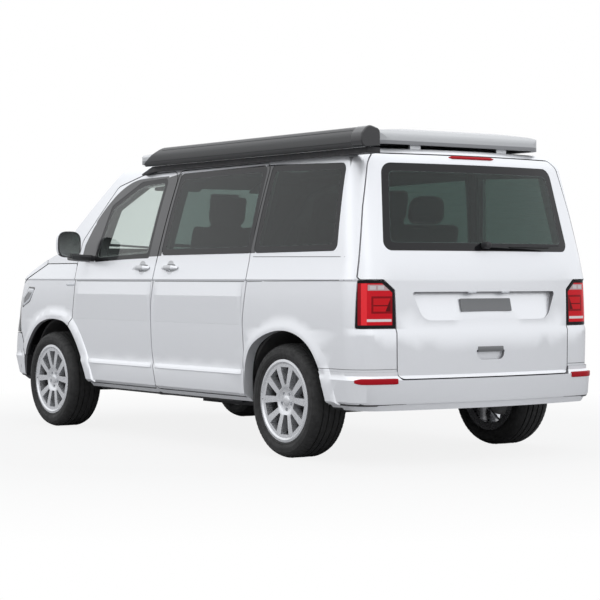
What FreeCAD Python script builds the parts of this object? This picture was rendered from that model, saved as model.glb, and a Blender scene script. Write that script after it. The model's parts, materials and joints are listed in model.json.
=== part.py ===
"""Camper van with a pop-up roof: a parametric FreeCAD document, one object per piece.

Frame: X forward, Y to the left, Z up, in millimetres. The origin is on the ground at the centre of
the vehicle's length and width. The painted body is one envelope, made of lofts between level outlines
and bounded in front by a revolved bonnet and windscreen form. Doors, tailgate, bonnet, wings and
glass are cut from bands of that envelope, so that they follow each other when a size changes.
"""
import FreeCAD, Part
import math
import os
import re
import Sketcher
from FreeCAD import Vector

# ---------------------------------------------------------------- driving dimensions (millimetres)
DIMENSIONS = [
    # alias, value, what it is
    ("body_length", 4770, "bumper to bumper"),
    ("body_width", 1904, "widest point of the side panels"),
    ("mirror_span", 2297, "outside of one mirror to outside of the other"),
    ("front_overhang", 908, "front of the bumper to the front axle"),
    ("wheelbase", 3000, "front axle to rear axle"),
    ("track", 1628, "tyre centre to tyre centre across an axle"),
    ("tyre_radius", 347, "rolling radius"),
    ("tyre_width", 255, "section width"),
    ("rim_radius", 252, "outside of the rim flange"),
    ("rim_width", 226, "flange to flange"),
    ("brake_radius", 155, "brake disc"),
    ("kingpin_inset", 62, "tyre centre inwards to the steering axis"),
    ("sill_height", 322, "underside of the sills"),
    ("floor_top", 480, "cabin floor"),
    ("floor_under", 405, "underside of the floor pan"),
    ("roof_height", 1862, "flat of the steel roof"),
    ("roof_top", 1990, "crown of the pop-up roof"),
    ("wall", 65, "whole thickness of a door or side wall"),
    ("skin", 20, "depth of the outer panel, over the inner box of a door"),
    ("seat_step", 24, "inner box stands back from the outer panel's edge"),
    ("gap", 7, "shut line between panels"),
    ("door_gap", 8, "shut line between the front door and the sliding door"),
    ("glass", 5, "thickness of the glazing"),
    ("frit", 42, "glass overlaps its aperture all round"),
    ("arch_liner", 18, "wheel housing sheet"),
    ("flare", 13, "wheel arch lip stands out from the side"),
    ("popup_width", 1440, "pop-up roof across"),
    ("awning_height", 118, "awning case"),
    ("awning_depth", 132, "awning case"),
]

doc = FreeCAD.newDocument("camper_van")
sheet = doc.addObject("Spreadsheet::Sheet", "Dimensions")
for row, (alias, value, note) in enumerate(DIMENSIONS, start=1):
    sheet.set("A%d" % row, alias)
    sheet.set("B%d" % row, str(value))
    sheet.set("C%d" % row, note)
    sheet.setAlias("B%d" % row, alias)
doc.recompute()


def dim(alias):
    """The number that the spreadsheet holds under an alias."""
    return float(getattr(sheet, alias))


nose = dim("body_length") / 2
tail = -nose
half = dim("body_width") / 2
front_axle = nose - dim("front_overhang")
rear_axle = front_axle - dim("wheelbase")
wheel_y = dim("track") / 2
gap = dim("gap")
wall = dim("wall")
skin = dim("skin")
PIECES = []


def keep(name, shape):
    """Adds a finished shape to the document as a piece of its own."""
    piece = doc.addObject("Part::Feature", name)
    piece.Label = name
    piece.Shape = shape
    PIECES.append(piece)
    return piece


def bound(text):
    """An expression with every alias in it turned into its cell of the spreadsheet."""
    return re.sub("[a-z_]{5,}", lambda word: "Dimensions." + word.group(0), text)


def blocked(name, x, y, z, length, width, height):
    """A plain block whose place and sizes are expressions of the spreadsheet."""
    piece = doc.addObject("Part::Box", name)
    piece.Label = name
    for prop, text in (("Placement.Base.x", x), ("Placement.Base.y", y), ("Placement.Base.z", z),
                       ("Length", length), ("Width", width), ("Height", height)):
        piece.setExpression(prop, bound(text))
    PIECES.append(piece)
    return piece


# ---------------------------------------------------------------- drawing helpers
def line(a, b):
    return Part.LineSegment(a, b).toShape()


def arc(a, through, b):
    return Part.Arc(a, through, b).toShape()


def rounded(corners, place):
    """A closed wire through (u, v, radius) corners; place(u, v) puts a point in space."""
    count = len(corners)
    pieces = []
    for i in range(count):
        u, v, radius = corners[i]
        before = corners[i - 1]
        after = corners[(i + 1) % count]
        a = Vector(before[0] - u, before[1] - v, 0)
        b = Vector(after[0] - u, after[1] - v, 0)
        turn = a.getAngle(b)
        if radius <= 0 or abs(math.pi - turn) < 1e-3:
            pieces.append((Vector(u, v, 0), None, Vector(u, v, 0)))
            continue
        reach = min(radius / math.tan(turn / 2), 0.49 * a.Length, 0.49 * b.Length)
        bend = reach * math.tan(turn / 2)
        a.normalize()
        b.normalize()
        middle = a + b
        middle.normalize()
        centre_distance = bend / math.sin(turn / 2)
        corner = Vector(u, v, 0)
        pieces.append((corner + a * reach, corner + middle * (centre_distance - bend), corner + b * reach))
    edges = []
    for i in range(count):
        start, through, end = pieces[i]
        if through is not None:
            edges.append(arc(place(start.x, start.y), place(through.x, through.y), place(end.x, end.y)))
        after = pieces[(i + 1) % count][0]
        if (after - end).Length > 1e-6:
            edges.append(line(place(end.x, end.y), place(after.x, after.y)))
    return Part.Wire(edges)


def side_prism(corners, low, high):
    """Corners are (x, z, radius); the prism runs along Y from low to high."""
    wire = rounded(corners, lambda u, v: Vector(u, low, v))
    return Part.Face(wire).extrude(Vector(0, high - low, 0))


def end_prism(corners, low, high):
    """Corners are (y, z, radius); the prism runs along X from low to high."""
    wire = rounded(corners, lambda u, v: Vector(low, u, v))
    return Part.Face(wire).extrude(Vector(high - low, 0, 0))


def plan_prism(corners, low, high):
    """Corners are (x, y, radius); the prism runs along Z from low to high."""
    wire = rounded(corners, lambda u, v: Vector(u, v, low))
    return Part.Face(wire).extrude(Vector(0, 0, high - low))


def box(x0, x1, y0, y1, z0, z1):
    return Part.makeBox(x1 - x0, y1 - y0, z1 - z0, Vector(x0, y0, z0))


def mirrored(shape):
    """The same shape on the other side of the vehicle."""
    return shape.mirror(Vector(0, 0, 0), Vector(0, 1, 0))


def grown(corners, step):
    """The outline moved outwards by step on every side (inwards if it is negative)."""
    count = len(corners)
    area = sum(corners[i - 1][0] * corners[i][1] - corners[i][0] * corners[i - 1][1] for i in range(count))
    side = 1 if area > 0 else -1
    moved = []
    for i in range(count):
        u, v, radius = corners[i]
        a = Vector(u - corners[i - 1][0], v - corners[i - 1][1], 0)
        b = Vector(corners[(i + 1) % count][0] - u, corners[(i + 1) % count][1] - v, 0)
        a.normalize()
        b.normalize()
        na = Vector(a.y, -a.x, 0) * side
        nb = Vector(b.y, -b.x, 0) * side
        shift = (na + nb) * (step / (1 + na.dot(nb)))
        moved.append((u + shift.x, v + shift.y, max(radius + step, 1) if radius > 0 else 0))
    return moved


# ---------------------------------------------------------------- the body envelope
# Level outlines of the painted body. Columns:
#   z, inset of the side from half width, inset of the tail, inset of the nose, rear and front corner radius
sill = dim("sill_height")
roof = dim("roof_height")
LEVELS = {
    "sill_under": (sill, 58, 14, 110, 150, 300),
    "sill_edge": (sill + 50, 13, 9, 46, 160, 300),
    "low_crease": (500, 1, 7, 2, 165, 310),
    "low_step": (524, 9, 27, 0, 165, 310),
    "panel": (650, 4, 27, 22, 165, 310),
    "gate_crease": (770, 2, 27, 52, 165, 320),
    "gate_step": (794, 2, 36, 60, 165, 320),
    "flank": (940, 3, 40, 95, 165, 320),
    "belt_under": (1070, 9, 45, 140, 160, 320),
    "belt": (1082, 2, 46, 148, 160, 320),
    "window_base": (1190, 20, 62, 190, 150, 300),
    "window_middle": (1500, 60, 128, 230, 135, 280),
    "window_top": (1775, 110, 184, 260, 115, 260),
    "cantrail": (roof - 30, 136, 226, 290, 105, 250),
    "roof": (roof, 190, 300, 350, 105, 230),
}
# Neighbouring levels that one loft joins: a smooth one through three levels, a ruled one through two.
LOFTS = [
    ("sill_under", "sill_edge"),
    ("sill_edge", "low_crease"),
    ("low_crease", "low_step"),
    ("low_step", "panel", "gate_crease"),
    ("gate_crease", "gate_step"),
    ("gate_step", "flank", "belt_under"),
    ("belt_under", "belt"),
    ("belt", "window_base"),
    ("window_base", "window_middle", "window_top"),
    ("window_top", "cantrail", "roof"),
]
TAIL_SAG = 105
NOSE_SAG = 115
TAIL_TAPER = 16
NOSE_TAPER = 62
WIDEST_X = 100


def corner_round(point, arriving, leaving, radius):
    """Start, middle and end of the arc that rounds a corner between two directions."""
    turn = arriving.getAngle(leaving)
    reach = radius * math.tan(turn / 2)
    start = point - arriving * reach
    end = point + leaving * reach
    inwards = leaving - arriving
    inwards.normalize()
    middle = point + inwards * (radius / math.cos(turn / 2) - radius)
    return start, middle, end


def outline(z, side, x_tail, x_nose, tail_radius, nose_radius):
    """One closed level outline: tail arc, corner, side arc, corner, nose arc and their mirrors."""
    widest = Vector(WIDEST_X, side, z)
    rear_corner = Vector(x_tail + TAIL_SAG, side - TAIL_TAPER, z)
    front_corner = Vector(x_nose - NOSE_SAG, side - NOSE_TAPER, z)

    def end_slope(chord_run, chord_rise):
        return 2 * math.atan2(chord_rise, chord_run)

    tail_slope = end_slope(rear_corner.y, TAIL_SAG)
    nose_slope = end_slope(front_corner.y, NOSE_SAG)
    rear_slope = end_slope(widest.x - rear_corner.x, TAIL_TAPER)
    front_slope = end_slope(front_corner.x - widest.x, NOSE_TAPER)
    tail_in = Vector(math.sin(tail_slope), math.cos(tail_slope), 0)
    rear_out = Vector(math.cos(rear_slope), math.sin(rear_slope), 0)
    front_in = Vector(math.cos(front_slope), -math.sin(front_slope), 0)
    nose_out = Vector(math.sin(nose_slope), -math.cos(nose_slope), 0)
    a, a_mid, b = corner_round(rear_corner, tail_in, rear_out, tail_radius)
    c, c_mid, d = corner_round(front_corner, front_in, nose_out, nose_radius)

    def flip(p):
        return Vector(p.x, -p.y, p.z)

    return Part.Wire([
        arc(flip(a), Vector(x_tail, 0, z), a),
        arc(a, a_mid, b),
        arc(b, widest, c),
        arc(c, c_mid, d),
        arc(d, Vector(x_nose, 0, z), flip(d)),
        arc(flip(d), flip(c_mid), flip(c)),
        arc(flip(c), flip(widest), flip(b)),
        arc(flip(b), flip(a_mid), flip(a)),
    ])


def level_outline(name, depth):
    z, side_in, tail_in, nose_in, tail_radius, nose_radius = LEVELS[name]
    top_share = {"cantrail": 0.35, "roof": 0.6}.get(name, 0.0)
    return outline(z - depth * top_share, half - side_in - depth, tail + tail_in + depth,
                   nose - nose_in - depth, max(tail_radius - depth, 20), max(nose_radius - depth, 60))


def front_form(depth):
    """Everything behind the bonnet and windscreen surfaces: a profile turned about a far axis."""
    axis_x = -400
    bonnet_front = nose - 165 - depth
    cowl_x = nose - 740 - depth * 0.5
    header_x = nose - 1466 - depth * 0.6
    top = 2300

    def at(x, z):
        return Vector(x, 0, z)

    edges = [
        line(at(axis_x, 200), at(bonnet_front + 400, 200)),
        line(at(bonnet_front + 400, 200), at(bonnet_front + 400, 800)),
        line(at(bonnet_front + 400, 800), at(bonnet_front + 40, 1000 - depth)),
        arc(at(bonnet_front + 40, 1000 - depth), at(bonnet_front + 14, 1034 - depth),
            at(bonnet_front - 40, 1062 - depth)),
        arc(at(bonnet_front - 40, 1062 - depth), at(nose - 492, 1187 - depth), at(cowl_x, 1262 - depth)),
        line(at(cowl_x, 1262 - depth), at(header_x, roof - 52 - depth * 0.6)),
        arc(at(header_x, roof - 52 - depth * 0.6), at(header_x - 76, roof - 9 - depth * 0.6),
            at(header_x - 180, roof + 14 - depth * 0.6)),
        line(at(header_x - 180, roof + 14 - depth * 0.6), at(axis_x, top)),
        line(at(axis_x, top), at(axis_x, 200)),
    ]
    sweep = 112
    form = Part.Face(Part.Wire(edges))
    form.rotate(Vector(axis_x, 0, 0), Vector(0, 0, 1), -sweep / 2)
    form = form.revolve(Vector(axis_x, 0, 0), Vector(0, 0, 1), sweep)
    behind = box(tail - 100, 575, -half - 200, half + 200, 200, top)
    return form.fuse(behind)


def envelope(depth):
    """The closed body form, moved inwards by depth."""
    stack = None
    for names in LOFTS:
        wires = [level_outline(n, depth) for n in names]
        part = Part.makeLoft(wires, True, len(names) == 2)
        stack = part if stack is None else stack.fuse(part)
    return stack.common(front_form(depth))


OUTER = envelope(0)
MIDDLE = envelope(skin)
LIP = envelope(skin + 6)
INNER = envelope(wall)
GLASS_OUT = envelope(1.5)
GLASS_IN = envelope(1.5 + dim("glass"))
GLASS_SEAT = envelope(2.7 + dim("glass"))

# ---------------------------------------------------------------- wheel arches, seen from the side
axle_z = dim("tyre_radius")
FRONT_ARCH = [(front_axle + dx, z) for dx, z in [
    (452, 120), (460, 343), (458, 459), (430, 556), (369, 635), (264, 722), (142, 770), (0, 790), (-107, 787),
    (-235, 762), (-350, 683), (-427, 593), (-521, 423), (-559, 307), (-595, 120)]]
REAR_ARCH = [(rear_axle + dx, z) for dx, z in [
    (384, 120), (385, 400), (380, 541), (330, 655), (246, 714), (130, 755), (10, 773), (-112, 764), (-226, 725),
    (-317, 659), (-382, 571), (-433, 454), (-466, 321), (-484, 120)]]


def side_at(x):
    """Half width of the body's side at a place along its length."""
    if x > WIDEST_X:
        return half - 3 - NOSE_TAPER * ((x - WIDEST_X) / (nose - NOSE_SAG - WIDEST_X)) ** 2
    return half - 3 - TAIL_TAPER * ((WIDEST_X - x) / (WIDEST_X - tail - TAIL_SAG)) ** 2


def arch_points(points, step, y=0):
    """The outline of an arch moved outwards by step, as points in a plane."""
    middle = Vector(sum(p[0] for p in points) / len(points), 0, 343)
    placed = []
    for x, z in points:
        away = Vector(x, 0, z) - middle
        if z < 200:
            away = Vector(away.x, 0, 0)
        away.normalize()
        placed.append(Vector(x + away.x * step, y, z + away.z * step))
    return placed


def arch_face(points, y, step=0):
    """The opening of a wheel arch as a flat face, moved outwards by step."""
    placed = arch_points(points, step, y)
    curve = Part.BSplineCurve()
    curve.interpolate(placed)
    return Part.Face(Part.Wire([curve.toShape(), line(placed[-1], placed[0])]))


def arch_prism(points, low, high, step=0):
    return arch_face(points, low, step).extrude(Vector(0, high - low, 0))


front_arch = arch_prism(FRONT_ARCH, 700, half + 60)
rear_arch = arch_prism(REAR_ARCH, 700, half + 60)

# The flares of the arches: a flat lip that stands out from the side, and a slope that runs back into it.
outward = OUTER.copy()
outward.translate(Vector(0, dim("flare"), 0))


def flare_band(points, x_near, y_near, x_far, y_far):
    """A solid whose outer face is a flat lip with a sloped edge; its plane follows the side in plan."""
    slant = (y_far - y_near) / (x_far - x_near)

    def ring(step, inset):
        flat = arch_points(points, step)
        placed = [Vector(q.x, y_near + slant * (q.x - x_near) - inset, q.z) for q in flat]
        curve = Part.BSplineCurve()
        curve.interpolate(placed)
        return Part.Wire([curve.toShape(), line(placed[-1], placed[0])])

    lip = dim("flare")
    return Part.makeLoft([ring(30, -lip), ring(30 + 46, 2), ring(30 + 70, 26)], True, True)


flares = flare_band(FRONT_ARCH, 900, side_at(900), 1940, side_at(1940)).fuse(
    flare_band(REAR_ARCH, -1140, side_at(-1140), -2000, side_at(-2000)))
flares = flares.common(outward).common(box(tail, nose, 820, half + 60, sill + 30, 960))
OUTER = OUTER.fuse([flares, mirrored(flares)])

openings = [front_arch, rear_arch, mirrored(front_arch), mirrored(rear_arch)]
well_radius = 430
liner = dim("arch_liner")
front_well_y = 490
rear_well_y = 600


def well(x, y_in, radius, y_out=half - wall):
    """The space of a wheel, open at the bottom."""
    drum = Part.makeCylinder(radius, y_out - y_in, Vector(x, y_in, axle_z), Vector(0, 1, 0))
    return drum.fuse(box(x - radius, x + radius, y_in, y_out, 0, axle_z)).removeSplitter()


front_well = well(front_axle, front_well_y, well_radius)
rear_well = well(rear_axle, rear_well_y, well_radius)
front_shell = well(front_axle, front_well_y - liner, well_radius + liner)
rear_shell = well(rear_axle, rear_well_y - liner, well_radius + liner)

# ---------------------------------------------------------------- shut lines, seen from the side: x, z, corner radius
door_bottom = sill + 32
# The seam between the doors widens upwards, where the front door's inner edge swings back a little as it opens.
B_LINE = [(-38, door_bottom), (4, 640), (15, 900), (-30, 1180), (-194, 1796)]


def half_seam(z):
    return dim("door_gap") / 2 + 2 * (z - door_bottom) / (1796 - door_bottom)


door_rear = [(x + half_seam(z), z) for x, z in B_LINE]
door_rear = [(*door_rear[0], 30), (*door_rear[1], 500), (*door_rear[2], 400), (*door_rear[3], 500), (*door_rear[4], 55)]
door_front = [(288, 1790, 220), (618, 1722, 120), (1047, 1352, 70), (1098, 1200, 120), (1114, 1052, 200)]
# The outer skin runs right to the arch; the inner box of the door stands back from the wheel housing.
FRONT_DOOR = door_rear + door_front + [(1146, 800, 60), (1196, 742, 0), (1110, 600, 0), (1000, 440, 0), (960, 354, 0),
                                       (900, door_bottom, 0)]
FRONT_DOOR_BOX = door_rear + door_front + [(1122, 900, 60), (1020, 770, 80), (945, 640, 80), (878, 446, 120),
                                           (845, door_bottom, 25)]
slide_front = [(x - half_seam(z), z) for x, z in B_LINE]
SLIDING_DOOR = [
    (*slide_front[0], 30), (*slide_front[1], 500), (*slide_front[2], 400), (*slide_front[3], 500),
    (*slide_front[4], 45), (-1263, 1800, 45), (-1157, 1240, 600), (-1142, 1084, 300), (-1100, 830, 300),
    (-1134, door_bottom, 25)]
FRONT_GLASS = [
    (70, 1229, 25), (-66, 1758, 35), (289, 1746, 160), (669, 1594, 60), (858, 1202, 20)]
SLIDING_GLASS = [(-86, 1240, 35), (-222, 1779, 40), (-1234, 1789, 40), (-1166, 1244, 35)]
QUARTER_GLASS = [(-1196, 1244, 35), (-1290, 1788, 40), (-2030, 1766, 45), (-2048, 1250, 45)]
# The tailgate is wide beside its window, where it wraps round the corners, and steps in above the tail lamps.
gate_half = [(664, 506, 40), (667, 796, 300), (671, 1022, 14), (744, 1084, 10), (889, 1084, 14), (868, 1190, 300),
             (808, 1500, 400), (738, 1776, 90), (690, 1822, 40)]
TAILGATE = gate_half + [(-y, z, radius) for y, z, radius in reversed(gate_half)]
GATE_ZONE = [(-2700, 400, 0), (-2185, 400, 0), (-2160, 1100, 0), (-2045, 1800, 0), (-2030, 1900, 0), (-2700, 1900, 0)]
TAILGATE_GLASS = [(-722, 1252, 50), (-658, 1768, 70), (658, 1768, 70), (722, 1252, 50)]
WINDSCREEN = [(-800, 1268, 70), (-640, 1790, 60), (640, 1790, 60), (800, 1268, 70)]

frit = dim("frit")


far = half + 60
gate_room = side_prism(GATE_ZONE, -far, far)
gate_clear = side_prism(grown(GATE_ZONE, gap), -far, far)
left_room = box(tail - 50, nose + 50, 0, far, 100, 2100)
rear_room = box(tail - 50, -1830, -far, far, 100, 2100)
FORMS = {}
for room_name, room in (("side", left_room), ("rear", rear_room)):
    near = [form.common(room) for form in (OUTER, MIDDLE, LIP, INNER, GLASS_OUT, GLASS_IN, GLASS_SEAT)]
    FORMS[room_name] = {
        "skin": near[0].cut(near[1]), "box": near[1].cut(near[3]), "lip": near[2], "pane": near[4].cut(near[5]),
        "seat": near[6], "band": near[0].cut(near[3])}


def aperture(cornered, through, low, high, side="side", boxed=None):
    """Opening for a piece that has an outer skin over a smaller inner box."""
    outer = through(grown(cornered, gap), low, high).cut(FORMS[side]["lip"])
    inner = through(grown(boxed or cornered, -(dim("seat_step") - 13)), low, high)
    return outer.fuse(inner)


def panel(cornered, through, low, high, side="side", boxed=None):
    """A moving panel: outer skin to its full outline and an inner box that stands back from it."""
    whole = through(cornered, low, high)
    inside = through(grown(boxed or cornered, -dim("seat_step")), low, high)
    outer = FORMS[side]["skin"].common(whole)
    inner = FORMS[side]["box"].common(inside)
    return outer.fuse(inner).removeSplitter()


def glazing(cornered, through, low, high, side="side"):
    return FORMS[side]["pane"].common(through(cornered, low, high))


def window_cut(cornered, through, low, high, side="side"):
    """Rebate for a pane and the daylight opening behind it."""
    rebate = through(grown(cornered, 1.5), low, high).cut(FORMS[side]["seat"] if side else GLASS_SEAT)
    return rebate.fuse(through(grown(cornered, -frit), low, high))


door_low = 560
band = OUTER.cut(INNER)
half_band = FORMS["side"]["band"]
front_band = band.common(box(1800, nose + 50, -far, far, 100, 1100))

# ---------------------------------------------------------------- bonnet, wings, bumpers and lamps
BONNET = [(1589, 1196, 20), (2120, 1018, 30), (2200, 992, 0), (2600, 992, 0), (2600, 1500, 0), (1633, 1500, 0),
          (1633, 1290, 0)]
BUMPER = [(1895, 100, 0), (1895, 478, 0), (1945, 511, 10), (2012, 672, 30), (2600, 672, 0), (2600, 100, 0)]
FACE = [(2022, 680, 30), (2600, 680, 0), (2600, 984, 0), (2198, 984, 0), (2112, 1008, 30), (2066, 1000, 30)]
WING = [(1203, 700, 0), (1203, 745, 0), (1153, 803, 60), (1121, 1052, 200), (1106, 1190, 20), (1581, 1190, 0),
        (2108, 1012, 30), (2058, 1000, 30), (2014, 680, 30), (2002, 680, 30), (1936, 517, 10), (1890, 480, 0),
        (1890, 100, 0), (1210, 100, 0)]
REAR_BUMPER = [(-2600, 100, 0), (-2600, 560, 0), (-1880, 560, 0), (-1880, 100, 0)]

sheet_band = OUTER.common(box(1050, nose + 50, -far, far, 900, 1500)).cut(envelope(30))
bonnet = sheet_band.common(side_prism(BONNET, -far, far))
bumper_zone = side_prism(BUMPER, -far, far)
face_zone = side_prism(FACE, -far, far)
front_bumper = front_band.common(bumper_zone).cut(Part.makeCompound(openings))
lamp_zone = end_prism([(500, 600, 0), (560, 1020, 0), (1000, 1020, 0), (1000, 600, 0)], 1850, 2600)
lamp_gap = end_prism([(494, 590, 0), (554, 1030, 0), (1000, 1030, 0), (1000, 590, 0)], 1850, 2600)
headlamp_left = front_band.common(face_zone).common(lamp_zone)
grille = front_band.common(face_zone).cut(lamp_gap.fuse(mirrored(lamp_gap)))
wing_zone = side_prism(WING, 300, far)
wing_left = FORMS["side"]["skin"].common(wing_zone).cut(front_arch)
rear_bumper_zone = side_prism(REAR_BUMPER, -far, far)
ledge = OUTER.common(box(tail - 50, -1860, -far, far, 360, 546))
ledge.translate(Vector(-7, 0, 0))
ledge_left = ledge.copy()
ledge_left.translate(Vector(0, 7, 0))
ledge_right = ledge.copy()
ledge_right.translate(Vector(0, -7, 0))
bumper_form = FORMS["rear"]["band"].fuse([ledge_left.cut(OUTER), ledge_right.cut(OUTER)])
bumper_form = bumper_form.cut(end_prism([(-671, 700, 0), (-671, 526, 16), (-652, 499, 16), (652, 499, 16), (671, 526, 16),
                                         (671, 700, 0)], -2600, -1900))
rear_bumper = bumper_form.common(rear_bumper_zone).cut(Part.makeCompound(openings))

# ---------------------------------------------------------------- tail lamps
TAIL_LAMP = [(-2600, 800, 0), (-2212, 800, 8), (-2215, 1076, 10), (-2600, 1076, 0)]
lamp_inner = [(675, 780, 0), (679, 1019, 14), (758, 1086, 0), (758, 1110, 0), (far, 1110, 0), (far, 780, 0)]
lamp_end = end_prism(grown(lamp_inner, 0), -2500, -2100)
lamp_end_gap = end_prism(grown(lamp_inner, 4), -2700, -2090)
lamp_side = side_prism(TAIL_LAMP, 600, far).common(lamp_end)
tail_lamp_left = FORMS["side"]["band"].common(box(-2500, -2100, 600, far, 700, 1200)).cut(envelope(40)).common(lamp_side)
lamp_cut = side_prism(grown(TAIL_LAMP, 4), 600, far).common(lamp_end_gap).cut(envelope(44))

# ---------------------------------------------------------------- roof, body sides and cowl
ROOF = [(-2062, -735, 60), (-2062, 735, 60), (582, 735, 60), (724, 640, 60), (724, -640, 60), (582, -735, 60)]
roof_zone = plan_prism(ROOF, 1700, 2000)
hatch = plan_prism([(-1770, -520, 60), (-1770, 520, 60), (380, 520, 60), (380, -520, 60)], 1700, 2000)

# No lip stands under the gate's top edge, which dips there as the gate turns about its hinge.
lidless = end_prism(grown(TAILGATE, gap), -2190, -1950).common(box(-2190, -1950, -far, far, 1740, 1900))
tailgate_space = aperture(TAILGATE, end_prism, -2700, -1950, "rear").fuse(lidless).common(gate_clear)
windscreen_space = window_cut(WINDSCREEN, end_prism, 760, 1740, None)
roof_hinge = Vector(-2055, 0, roof + 28)
barrels = []
sockets = []
for y in (-380, 300):
    barrels += [Part.makeCylinder(9, 80, Vector(roof_hinge.x, y, roof_hinge.z), Vector(0, 1, 0)),
                box(roof_hinge.x - 6, roof_hinge.x + 9, y, y + 80, roof - 24, roof_hinge.z)]
    sockets += [Part.makeCylinder(16, 92, Vector(roof_hinge.x, y - 6, roof_hinge.z), Vector(0, 1, 0)),
                box(roof_hinge.x - 22, roof_hinge.x + 22, y - 6, y + 86, roof, roof_hinge.z)]
roof_frame = band.common(roof_zone).cut([hatch, tailgate_space]).fuse(barrels).removeSplitter()
front_space = side_prism([(1105, 1042, 0), (1128, 400, 0), (1128, 0, 0), (2700, 0, 0), (2700, 1196, 0),
                          (1589, 1196, 0), (1140, 1196, 0), (1094, 1196, 0)], -far, far)
hinge_post = LIP.cut(INNER).common(side_prism([(1090, 870, 0), (1090, 1196, 0), (1222, 1196, 0), (1222, 690, 0),
                                               (1125, 690, 0)], 300, far)).cut(
    side_prism(grown(FRONT_DOOR_BOX, -(dim("seat_step") - 13)), 300, far))
bonnet_space = side_prism(grown(BONNET, gap), -far, far)
side_space = [
    aperture(FRONT_DOOR, side_prism, door_low, far, "side", FRONT_DOOR_BOX), aperture(SLIDING_DOOR, side_prism, door_low, far),
    window_cut(QUARTER_GLASS, side_prism, door_low, far), front_space, bonnet_space, tailgate_space,
    windscreen_space, side_prism(grown(REAR_BUMPER, 3), -far, far), lamp_cut, front_arch, rear_arch,
    plan_prism(ROOF, 1500, 2100), box(1150, 1680, -690, 690, 1100, 1400)]
body_side_left = half_band.cut(side_space).fuse(hinge_post.cut(front_arch)).removeSplitter()
# The right side has one large fixed pane where the left has its sliding door.
right_space = [aperture(FRONT_DOOR, side_prism, door_low, far, "side", FRONT_DOOR_BOX), window_cut(SLIDING_GLASS, side_prism, door_low, far)]
body_side_right = half_band.cut(right_space + side_space[2:]).fuse(hinge_post.cut(front_arch)).removeSplitter()
body_side_right = mirrored(body_side_right)

# ---------------------------------------------------------------- doors, tailgate and glass
door_blank = panel(FRONT_DOOR, side_prism, door_low, far, "side", FRONT_DOOR_BOX)
cups = [side_prism([(x - 60, 1131, 20), (x - 60, 1179, 20), (x + 60, 1179, 20), (x + 60, 1131, 20)], half - 32, far)
        for x in (128, -232)]
front_door_left = door_blank.cut([window_cut(FRONT_GLASS, side_prism, door_low, far), front_arch, cups[0]])
sliding_blank = panel(SLIDING_DOOR, side_prism, door_low, far)
sliding_door_left = sliding_blank.cut([window_cut(SLIDING_GLASS, side_prism, door_low, far), rear_arch, cups[1]])
tailgate = panel(TAILGATE, end_prism, -2700, -1950, "rear").common(gate_room)
# The number plate's recess deepens upwards from its lower edge; the grip below it has a level floor.
rear_face = OUTER.common(box(tail - 50, tail + 400, -700, 700, 600, 1100))
deep = rear_face.copy()
deep.rotate(Vector(tail + 42, 0, 842), Vector(0, 1, 0), 12)
plate_recess = end_prism([(-560, 1010, 14), (-486, 842, 90), (486, 842, 90), (560, 1010, 14)], tail, tail + 200).cut(deep)
level = rear_face.copy()
level.translate(Vector(20, 0, 0))
grip_recess = end_prism([(-112, 664, 8), (-98, 606, 45), (98, 606, 45), (112, 664, 8)], tail, tail + 200).cut(level)
tailgate = tailgate.cut([window_cut(TAILGATE_GLASS, end_prism, -2700, -1950, "rear"), plate_recess, grip_recess])

front_glass = glazing(FRONT_GLASS, side_prism, door_low, far)
sliding_glass = glazing(SLIDING_GLASS, side_prism, door_low, far)
quarter_glass = glazing(QUARTER_GLASS, side_prism, door_low, far)
tailgate_glass = glazing(TAILGATE_GLASS, end_prism, -2700, -1950, "rear")
windscreen = GLASS_OUT.common(box(650, 1800, -far, far, 1100, 2000)).cut(GLASS_IN).common(
    end_prism(WINDSCREEN, 760, 1740)).cut(bonnet_space)

# ---------------------------------------------------------------- floor, wheel housings and front structure
floor_top = dim("floor_top")
floor_under = dim("floor_under")
well_front = front_axle - well_radius - liner
floor_slab = INNER.common(box(tail, well_front - 6, -far, far, floor_under, floor_top))
housing = rear_shell.cut(rear_well).common(box(tail, nose, 500, half - wall - 3, floor_under, 1200))
floor_pan = floor_slab.cut([rear_shell, mirrored(rear_shell), front_shell, mirrored(front_shell)])
floor_pan = floor_pan.fuse([housing, mirrored(housing)])
rail = box(-2230, well_front - 6, 380, 450, 330, floor_under)
floor_pan = floor_pan.fuse([rail, mirrored(rail)])
for x in (-2110, -937, -60, 800):
    floor_pan = floor_pan.fuse(box(x - 35, x + 35, -700, 700, 345, floor_under).cut(
        [rear_shell, mirrored(rear_shell)]))
floor_pan = floor_pan.common(INNER).removeSplitter()

bulkhead = INNER.common(box(well_front, well_front + 20, -front_well_y + liner, front_well_y - liner, 330, 1185))
upper = INNER.common(box(well_front, well_front + 20, -far, far, 860, 1185))
front_housing = front_shell.cut(front_well).common(box(850, nose, 400, half - wall - 3, floor_under - 40, 1200))
leg = box(well_front + 20, 2170, 392, 462, 380, 520)
front_frame = bulkhead.fuse([upper, front_housing, mirrored(front_housing), leg, mirrored(leg)])
front_frame = front_frame.fuse([box(2130, 2170, -520, 520, 380, 470), box(2130, 2170, -520, 520, 900, 960),
                                box(2130, 2170, -520, -470, 380, 960), box(2130, 2170, 470, 520, 380, 960)])
cowl = INNER.common(box(well_front + 20, 1500, -640, 640, 1150, 1175)).cut(
    [front_shell, mirrored(front_shell)])
front_frame = front_frame.fuse(cowl).common(INNER).cut([bonnet_space]).removeSplitter()
cowl_panel = sheet_band.common(box(1150, 1680, -684, 684, 1177, 1400)).cut([bonnet_space, windscreen_space])

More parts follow.
